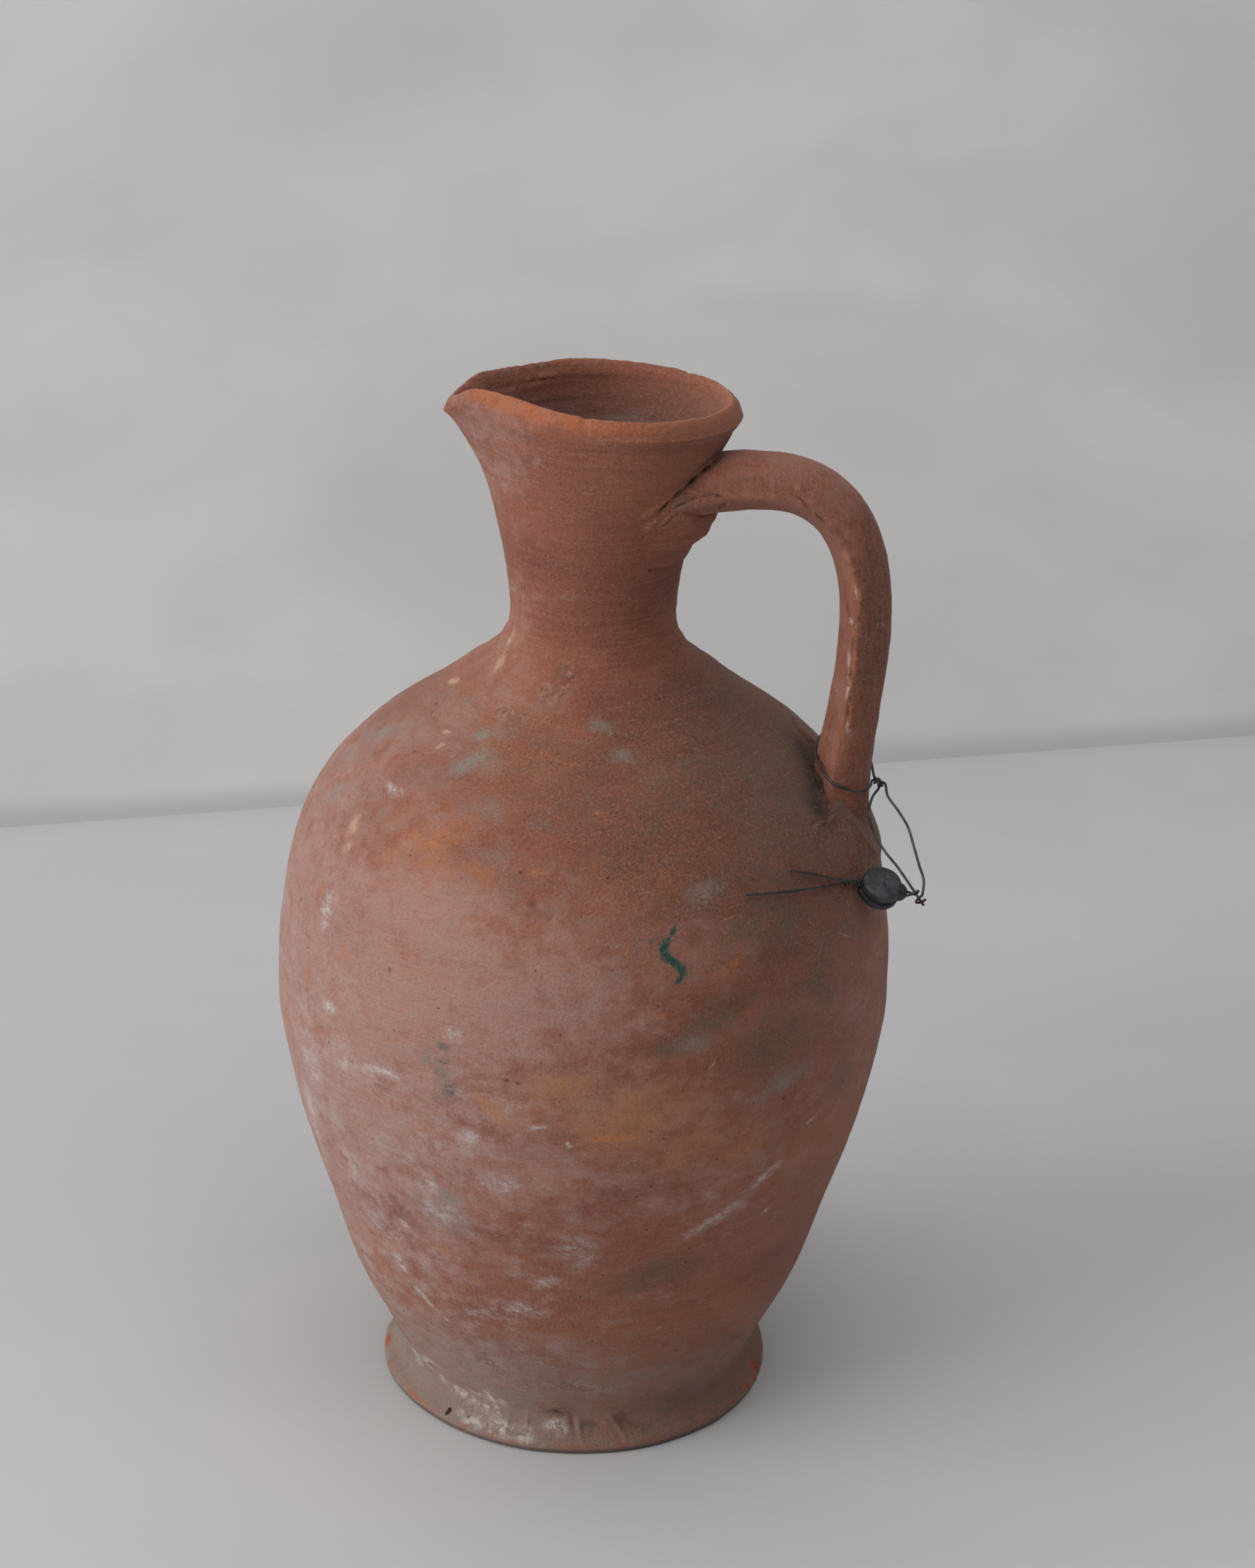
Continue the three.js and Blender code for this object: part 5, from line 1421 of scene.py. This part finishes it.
def wall_clay(name, foot=False):
    """The thrown clay: clouded, under dirt on the shoulder and salts on the belly."""
    p = fired_clay(name)
    x, y, z = p.axis("X"), p.axis("Y"), p.axis("Z")
    left = p.ramp(x, 60, -90, 0, 1, smooth=False)
    belly = p.ramp(z, 240, 160)
    bare_neck = p.ramp(z, 262, 236)
    shoulder = p.times(p.ramp(z, 150, 222), p.ramp(z, 268, 236))
    loose, ragged, torn = p.warped(9.0, 24.0), p.warped(2.6, 7.0), p.warped(0.7, 2.2)
    wiped = p.cloud(1.5, 4, 0.72, (9, 9, 0.42), 17.0)
    # Rosy bloom over the belly, heavier to the left: its extra weight on the lit left side, and up the
    # left of the neck, is painted sheen
    lit_neck_side = p.times(p.ramp(x, -2, -30), p.ramp(z, 236, 262))
    film(
        p, (188, 151, 142), 0.78, 0.94, 1.30,
        (p.patches, 0.65), (p.mottle, 0.8), (left, 0.25), (belly, 0.14), (bare_neck, 0.12),
        (wiped, 0.06), (p.ramp(z, 120, 50), -0.10), (lit_neck_side, 0.15),
    )
    # Brown-grey dirt on the shoulder and up the right side
    dirt = p.cloud(34, 6, 0.68, (1.5, 1.5, 0.75), 77.0)
    right = p.ramp(x, -10, 80, 0, 1)
    film(
        p, (104, 74, 60), 0.78, 0.58, 0.88, (dirt, 0.6), (p.mottle, 0.4), (shoulder, 0.28),
        (right, 0.12), (left, -0.15),
    )
    soot = p.cloud(26, 6, 0.72, (1.6, 1.6, 0.8), 91.0)
    film(
        p, (108, 98, 86), 0.75, 0.70, 0.94, (soot, 0.6), (p.mottle, 0.4), (shoulder, 0.20),
        (right, 0.14),
    )
    # White salts on the lower left
    low = p.ramp(z, 205, 130)
    salt = p.cloud(17, 7, 0.76, (1.5, 1.5, 0.9), 13.0)
    film(p, (200, 187, 183), 0.75, 0.80, 1.08, (salt, 0.65), (p.mottle, 0.5), (left, 0.20), (low, 0.12))
    # A drift of dust up the lowest part of the wall
    film(
        p, (152, 138, 129), 0.8, 0.60, 0.98, (p.patches, 0.4), (p.mottle, 0.55),
        (p.ramp(z, 88, 14), 0.32), (left, 0.18),
    )
    p.lay((110, 66, 54), p.ramp(wiped, 0.52, 0.70), p.ramp(z, 222, 250, 0.24, 0.34))
    p.lay(
        (196, 158, 144), p.ramp(wiped, 0.46, 0.28), p.ramp(p.patches, 0.4, 0.6, 0.1, 0.34),
        p.ramp(z, 215, 255, 0.3, 1),
    )
    if foot:
        foot_marks(p, ragged, torn)
        grit(p)
        return finish_clay(p)
    wall_marks(p, loose, ragged, torn)
    # The rim is worn back to orange clay, and the pinched tip is sooty
    level = p.plus(x, 0.037, z)
    rim = p.plus(p.mottle, 5.0, p.plus(p.patches, 6.0, level))
    worn = p.times(
        p.ramp(rim, 332.4, 334.4), p.ramp(y, 6, -12), p.ramp(x, 26, -4, 0.2, 1),
        p.ramp(x, -44, -34, 0.35, 1),
    )
    p.lay((182, 104, 66), worn, 0.75)
    p.lay(
        (150, 128, 118), p.ramp(level, 327.5, 329.5),
        p.ramp(p.cloud(6, 5, 0.75, shift=37.0), 0.56, 0.66, 0, 0.6),
    )
    p.lay(
        (78, 54, 46), p.spot(-176, 322, 6, 7, edge=1.0, radius=46), p.ramp(p.mottle, 0.50, 0.6, 0, 0.6),
    )
    # Darker inside the mouth below the rim, and a grey crust deep in it
    inside = p.facing_axis()
    p.lay((112, 80, 70), inside, p.ramp(z, 329, 320), 0.5)
    spread = p.ramp(p.cloud(9, 6, 0.74, (1.8, 1.8, 0.7), 83.0), 0.44, 0.54)
    crust = p.times(p.ramp(z, 324, 308), spread, p.ramp(y, 4, 14), p.ramp(x, 30, 10))
    p.lay((138, 124, 116), inside, crust, 0.75)
    # Painted shade in the crack at the handle's root, with some dirt
    p.lay((24, 19, 18), p.path(CRACK, 1.0, 0.7, p.warped(0.25, 2.5)))
    # Painted shade, with some soot, in the hollow beside and above the handle's lower end; a smaller dark
    # patch lies just below it
    corner = [
        (64.5, -8, 222.5), (66, -14, 220.8), (67, -21.5, 218.2), (68.3, -29, 214.8), (69.2, -35, 211.4),
    ]
    p.lay((70, 58, 50), p.path(corner, 11.0, 1.0, ragged), p.ramp(p.mottle, 0.38, 0.62, 0.35, 0.85))
    p.lay((44, 36, 31), p.path(corner, 5.4, 1.0, torn), p.ramp(p.fine, 0.34, 0.62, 0.35, 0.95))
    p.lay(
        (70, 58, 50), p.spot(-31, 207.5, 8, 4, 20, 1.0, torn, radius=78),
        p.ramp(p.fine, 0.46, 0.56, 0, 0.6),
    )
    # The pressed oval and scuffs at the handle's root
    scuffed = p.path([(21, -25, 298.5), (28, -27, 300), (34, -25, 302)], 4.6, 0.7, ragged)
    p.lay((126, 92, 80), scuffed, p.ramp(p.mottle, 0.42, 0.58, 0.1, 0.6))
    p.lay((72, 48, 40), p.path(OVAL, 0.7, 0.8, torn), p.ramp(p.mottle, 0.46, 0.56, 0, 0.6))
    grit(p)
    return finish_clay(p)


def handle_clay():
    p = fired_clay("clay_handle")
    flat = (1, 0.35, 1)
    soft, sharp = (p.scaled(flat, place=p.warped(*warp)) for warp in ((2.0, 6.0), (0.7, 2.2)))

    def mark(points, width, edge, place):
        """A mark along the near side, however deep its face lies there."""
        return p.path([(x, y * flat[1], z) for x, y, z in points], width, edge, place)

    across = p.axis("X")
    inner, outer = p.ramp(across, 81, 75), p.ramp(across, 75, 82)
    # A pale bloom, heavier on the inner face: that extra weight is painted sheen on the lit side
    film(p, (182, 144, 131), 0.6, 0.60, 0.92, (p.patches, 0.4), (p.mottle, 0.65), (inner, 0.16))
    # These two films are heavier on the outer face: real dirt, and painted shade on the face turned away
    # from the light
    dirt = p.cloud(22, 6, 0.72, (1, 1, 1.5), 77.0)
    film(p, (98, 74, 60), 0.78, 0.54, 0.84, (dirt, 0.6), (p.mottle, 0.45), (outer, 0.20))
    film(
        p, (112, 102, 88), 0.6, 0.66, 0.9, (p.cloud(14, 6, 0.74, (1, 1, 1.6), 55.0), 0.6),
        (p.mottle, 0.4), (outer, 0.12),
    )
    drawn = p.cloud(1.3, 4, 0.72, (1, 1, 9), 17.0)
    p.lay((104, 64, 52), p.ramp(drawn, 0.52, 0.70, 0, 0.4))
    p.lay((194, 156, 142), p.ramp(drawn, 0.46, 0.30, 0, 0.25))
    ridge = [
        (60, -26, 309), (66, -27, 303.4), (72.6, -27.3, 294.2), (77, -27.7, 284), (78.8, -27.8, 276),
        (78.4, -27.6, 262), (78.6, -27.6, 248),
    ]
    p.lay((190, 122, 88), mark(ridge, 2.2, 1.0, soft), p.ramp(p.mottle, 0.46, 0.60, 0, 0.7))
    pale = [
        mark([(76.2, -26, 261.5), (76.6, -26.4, 252), (77.2, -27.4, 243)], 1.3, 1.0, sharp),
        mark([(75.5, -25, 270.4), (77.6, -27, 268.4)], 1.4, 0.9, sharp),
        mark([(77.5, -27, 240), (78.2, -27.4, 232)], 1.5, 1.0, soft),
        mark([(76.8, -27, 284), (78, -27.4, 276)], 0.8, 1.0, sharp),
        mark([(84.6, -24, 268), (87.6, -20, 266)], 1.6, 1.0, soft),
    ]
    chalky = p.ramp(p.cloud(2.0, 5, 0.75, (1, 1, 2.0), 15.0), 0.45, 0.56, 0, 0.85)
    p.lay((208, 186, 176), p.gather(pale), chalky)
    # Painted shade in the pit carved here
    p.lay((46, 36, 32), mark([(74.9, -24.4, 272.6), (75.5, -24.8, 270.4)], 1.5, 0.7, sharp))
    seams = [
        mark(
            [(77.4, -27, 266), (77.0, -27.2, 258), (77.2, -27.2, 249), (77.3, -27.4, 243)], 0.7, 0.9,
            sharp,
        ),
        mark([(58.0, -26.3, 308.0), (63.0, -27.0, 303.6), (67.4, -27.0, 299.4)], 0.7, 0.9, sharp),
        mark([(77.0, -27.2, 244.0), (77.2, -27.4, 239.0)], 0.8, 0.9, sharp),
    ]
    p.lay((74, 48, 42), p.gather(seams), 0.7)
    # Painted shade, with some soot, on the handle's lower end where it runs into the wall
    foot = p.gather(
        p.stroke(a, b, width, 1.0, p.warped(2.2, 6.0))
        for a, b, width in (((70, -33, 213), (80, -33, 210), 7), ((66, -30, 222), (67, -34, 212), 4))
    )
    p.lay((80, 66, 58), foot, p.ramp(p.mottle, 0.44, 0.58, 0.1, 0.7))
    smeared = mark([(24, -24.4, 301.5), (31, -25, 303.2), (36, -24.4, 304)], 5.2, 0.6, soft)
    p.lay((132, 98, 86), smeared, p.ramp(p.mottle, 0.42, 0.58, 0.2, 0.75))
    p.lay((70, 46, 38), mark(OVAL, 0.75, 0.8, sharp), p.ramp(p.mottle, 0.44, 0.56, 0.25, 0.8))
    p.lay((104, 52, 38), mark([(29, -26, 299.5), (34, -24, 301.5)], 1.3, 0.8, sharp), 0.65)
    # Painted shade, with some dirt, along the crack between the handle's root and the neck
    beside = mark([(36.4, -15, 315.5), (32, -20, 311.6), (24, -24.4, 305)], 3.0, 1.0, soft)
    p.lay((70, 56, 48), beside, p.ramp(p.mottle, 0.4, 0.6, 0.2, 0.8))
    # Painted shade in the crack at the handle's root, with some dirt
    p.lay((22, 18, 17), mark(CRACK, 0.85, 0.7, p.scaled(flat, place=p.warped(0.25, 2.5))))
    grit(p)
    return finish_clay(p)


def finish_clay(p):
    p.shader.inputs["Sheen Weight"].default_value = 0.18
    p.shader.inputs["Sheen Roughness"].default_value = 0.5
    p.shader.inputs["Sheen Tint"].default_value = srgb(236, 222, 214)
    return p.done(specular=0.22)


def iron():
    p = Paint("iron_wire", (86, 85, 82), 0.42)
    p.lay((52, 50, 48), p.ramp(p.cloud(3.5, 3, 0.6, shift=1.0), 0.42, 0.65, 0, 0.7), rough=0.12)
    p.lay((104, 60, 40), p.ramp(p.cloud(7, 4, 0.7, shift=6.0), 0.62, 0.72, 0, 0.6), rough=0.3)
    rust = p.path([(100.5, -45.5, 187.0), (104.5, -46.5, 183.5)], 3.4, 0.6)
    p.lay((98, 48, 32), rust, p.ramp(p.cloud(1.4, 3, 0.6), 0.36, 0.52, 0.2, 1), rough=0.3)
    p.bump(p.cloud(0.9, 3, 0.6), 0.12, 0.04)
    return p.done(metallic=0.7)


def lead():
    p = Paint("lead", (70, 72, 77), 0.5)
    p.lay((50, 51, 54), p.ramp(p.cloud(4, 4, 0.6, shift=1.0), 0.42, 0.62, 0, 0.8), rough=0.12)
    p.lay((104, 106, 110), p.ramp(p.cloud(1.4, 4, 0.6, shift=6.0), 0.58, 0.75, 0, 0.6), rough=0.05)
    p.lay((112, 112, 110), p.ramp(p.cloud(0.7, 2, 0.5, (4, 1, 1), 9.0), 0.64, 0.74, 0, 0.6), rough=0.05)
    p.bump(p.cloud(1.1, 4, 0.6), 0.35, 0.15)
    return p.done(metallic=0.35)


def plaster(name, colour, blotch, size, crease=0.0):
    p = Paint(name, colour, 0.9)
    p.lay(blotch, p.ramp(p.cloud(size, 3, 0.5, (1.6, 1, 1), 2.0, 0.6), 0.38, 0.68, 0, 0.7))
    p.lay(blotch, p.ramp(p.cloud(size / 3, 2, 0.5, (1.5, 1, 1), 7.0, 0.3), 0.40, 0.72, 0, 0.4))
    # crease: how strong the painted shade is along the foot of the wall, where it meets the floor
    if crease:
        p.lay((196, 198, 200), p.ramp(p.axis("Z"), 16, 2, 0, crease))
    p.bump(p.cloud(3.0, 4, 0.6), 0.08, 0.3)
    return p.done(specular=0.2)


# Pieces
WALL_CLAY, FOOT_CLAY = wall_clay("clay_wall"), wall_clay("clay_foot", foot=True)
HANDLE_CLAY = handle_clay()
IRON, LEAD = iron(), lead()


def settle(piece, material, body, slot, *nodes):
    """Gives a piece its material and its body, and hides the solids that it stands for. The slot is not
    used.
    """
    piece.data.materials.clear()
    piece.data.materials.append(material)
    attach(piece, body)
    if nodes:
        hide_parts(*nodes)


settle(make_foot(), FOOT_CLAY, "vessel", "clay", "foot")
settle(make_body(), WALL_CLAY, "vessel", "clay", "body_shell")
settle(make_neck(), WALL_CLAY, "vessel", "clay", "neck_and_spout")
settle(make_handle(), HANDLE_CLAY, "vessel", "clay", "handle")
upper_lute, lower_lute = make_lutes()
settle(upper_lute, WALL_CLAY, "vessel", "clay", "upper_handle_lute")
settle(lower_lute, WALL_CLAY, "vessel", "clay", "lower_handle_lute")
settle(make_collar(), IRON, "collar", "iron_wire", "collar_wire")
settle(make_pendant(), IRON, "pendant", "iron_wire", "pendant_wire")
settle(make_seal(), LEAD, "seal", "lead", "lead_seal")
settle(make_seal_lump(), LEAD, "seal", "lead")
settle(make_seal_wire(), IRON, "seal", "iron_wire", "seal_wire")


# Stage: a pale plaster floor and a wall that meets it behind the jug
def sheet_piece(name, corners, material):
    mesh = bpy.data.meshes.new(name)
    mesh.from_pydata(corners, [], [list(range(len(corners)))])
    piece = bpy.data.objects.new(name, mesh)
    bpy.context.scene.collection.objects.link(piece)
    mesh.materials.append(material)


def one_sided(material):
    """Seen from behind, the sheet lets the camera through."""
    nodes, links = material.node_tree.nodes, material.node_tree.links
    output = nodes["Material Output"]
    solid = output.inputs["Surface"].links[0].from_socket
    side = nodes.new("ShaderNodeNewGeometry")
    clear = nodes.new("ShaderNodeBsdfTransparent")
    mix = nodes.new("ShaderNodeMixShader")
    links.new(side.outputs["Backfacing"], mix.inputs[0])
    links.new(solid, mix.inputs[1])
    links.new(clear.outputs[0], mix.inputs[2])
    links.new(mix.outputs[0], output.inputs["Surface"])
    return material


FLOOR = one_sided(plaster("plaster_floor", (211, 211, 211), (204, 204, 205), 220))
# The wall's crease band is painted shade along its foot, where it meets the floor
WALL = one_sided(plaster("plaster_wall", (247, 246, 245), (228, 228, 227), 190, crease=0.55))
# The line where the wall meets the floor: a place on it and its way
LINE_LEFT, LINE_WAY = Vector((-0.268, 0.426, 0)), Vector((0.603, 0.157, 0)).normalized()
left, right = LINE_LEFT - LINE_WAY * 2.2, LINE_LEFT + LINE_WAY * 3.4
sheet_piece("floor", [(-3, -3, 0), (3, -3, 0), tuple(right), tuple(left)], FLOOR)
up = Vector((0, 0, 2.4))
sheet_piece("wall", [tuple(left), tuple(right), tuple(right + up), tuple(left + up)], WALL)


# Light: one broad, soft window at the left, and a dim pale room
def area(name, at, aim, width, height, power, colour):
    data = bpy.data.lights.new(name, "AREA")
    data.shape, data.size, data.size_y = "RECTANGLE", width, height
    data.energy, data.color = power, colour
    lamp = bpy.data.objects.new(name, data)
    bpy.context.scene.collection.objects.link(lamp)
    lamp.location = at
    lamp.rotation_euler = (Vector(aim) - Vector(at)).to_track_quat("-Z", "Y").to_euler()


area(
    "window", at=(-3.2, -1.25, 1.5), aim=(0, 0, 0.15),
    width=3.0, height=2.2, power=91, colour=(1.0, 0.998, 0.992),
)
area(
    "ceiling", at=(0.2, -0.6, 2.1), aim=(0.1, 0.25, 0.05),
    width=2.6, height=2.2, power=20, colour=(1.0, 0.998, 0.996),
)
ROOM_LIGHT = 0.14


def room():
    """A dim, even room for the light and a plain pale one for the camera."""
    world = bpy.data.worlds.new("room")
    bpy.context.scene.world = world
    world.use_nodes = True
    nodes, links = world.node_tree.nodes, world.node_tree.links
    dim = nodes["Background"]
    dim.inputs["Color"].default_value = srgb(226, 228, 232)
    dim.inputs["Strength"].default_value = ROOM_LIGHT
    pale = nodes.new("ShaderNodeBackground")
    pale.inputs["Color"].default_value = srgb(192, 192, 191)
    path = nodes.new("ShaderNodeLightPath")
    mix = nodes.new("ShaderNodeMixShader")
    links.new(path.outputs["Is Camera Ray"], mix.inputs[0])
    links.new(dim.outputs[0], mix.inputs[1])
    links.new(pale.outputs[0], mix.inputs[2])
    links.new(mix.outputs[0], nodes["World Output"].inputs["Surface"])


room()

# Camera
camera_data = bpy.data.cameras.new("camera")
camera_data.sensor_width, camera_data.lens = 36.0, 73.816
camera = bpy.data.objects.new("camera", camera_data)
bpy.context.scene.collection.objects.link(camera)
pitch, roll, yaw = math.radians(22.336), math.radians(1.737), math.radians(0.7556)
forward = Vector((math.sin(yaw) * math.cos(pitch), math.cos(yaw) * math.cos(pitch), -math.sin(pitch)))
right_way = forward.cross(Vector((0, 0, 1))).normalized()
up_way = right_way.cross(forward)
across = math.cos(roll) * right_way + math.sin(roll) * up_way
upwards = -math.sin(roll) * right_way + math.cos(roll) * up_way
turned = Matrix((across, upwards, -forward)).transposed().to_4x4()
camera.matrix_world = Matrix.Translation((0, -0.92507, 0.58466)) @ turned
bpy.context.scene.camera = camera
bpy.context.scene.view_settings.view_transform = "Standard"
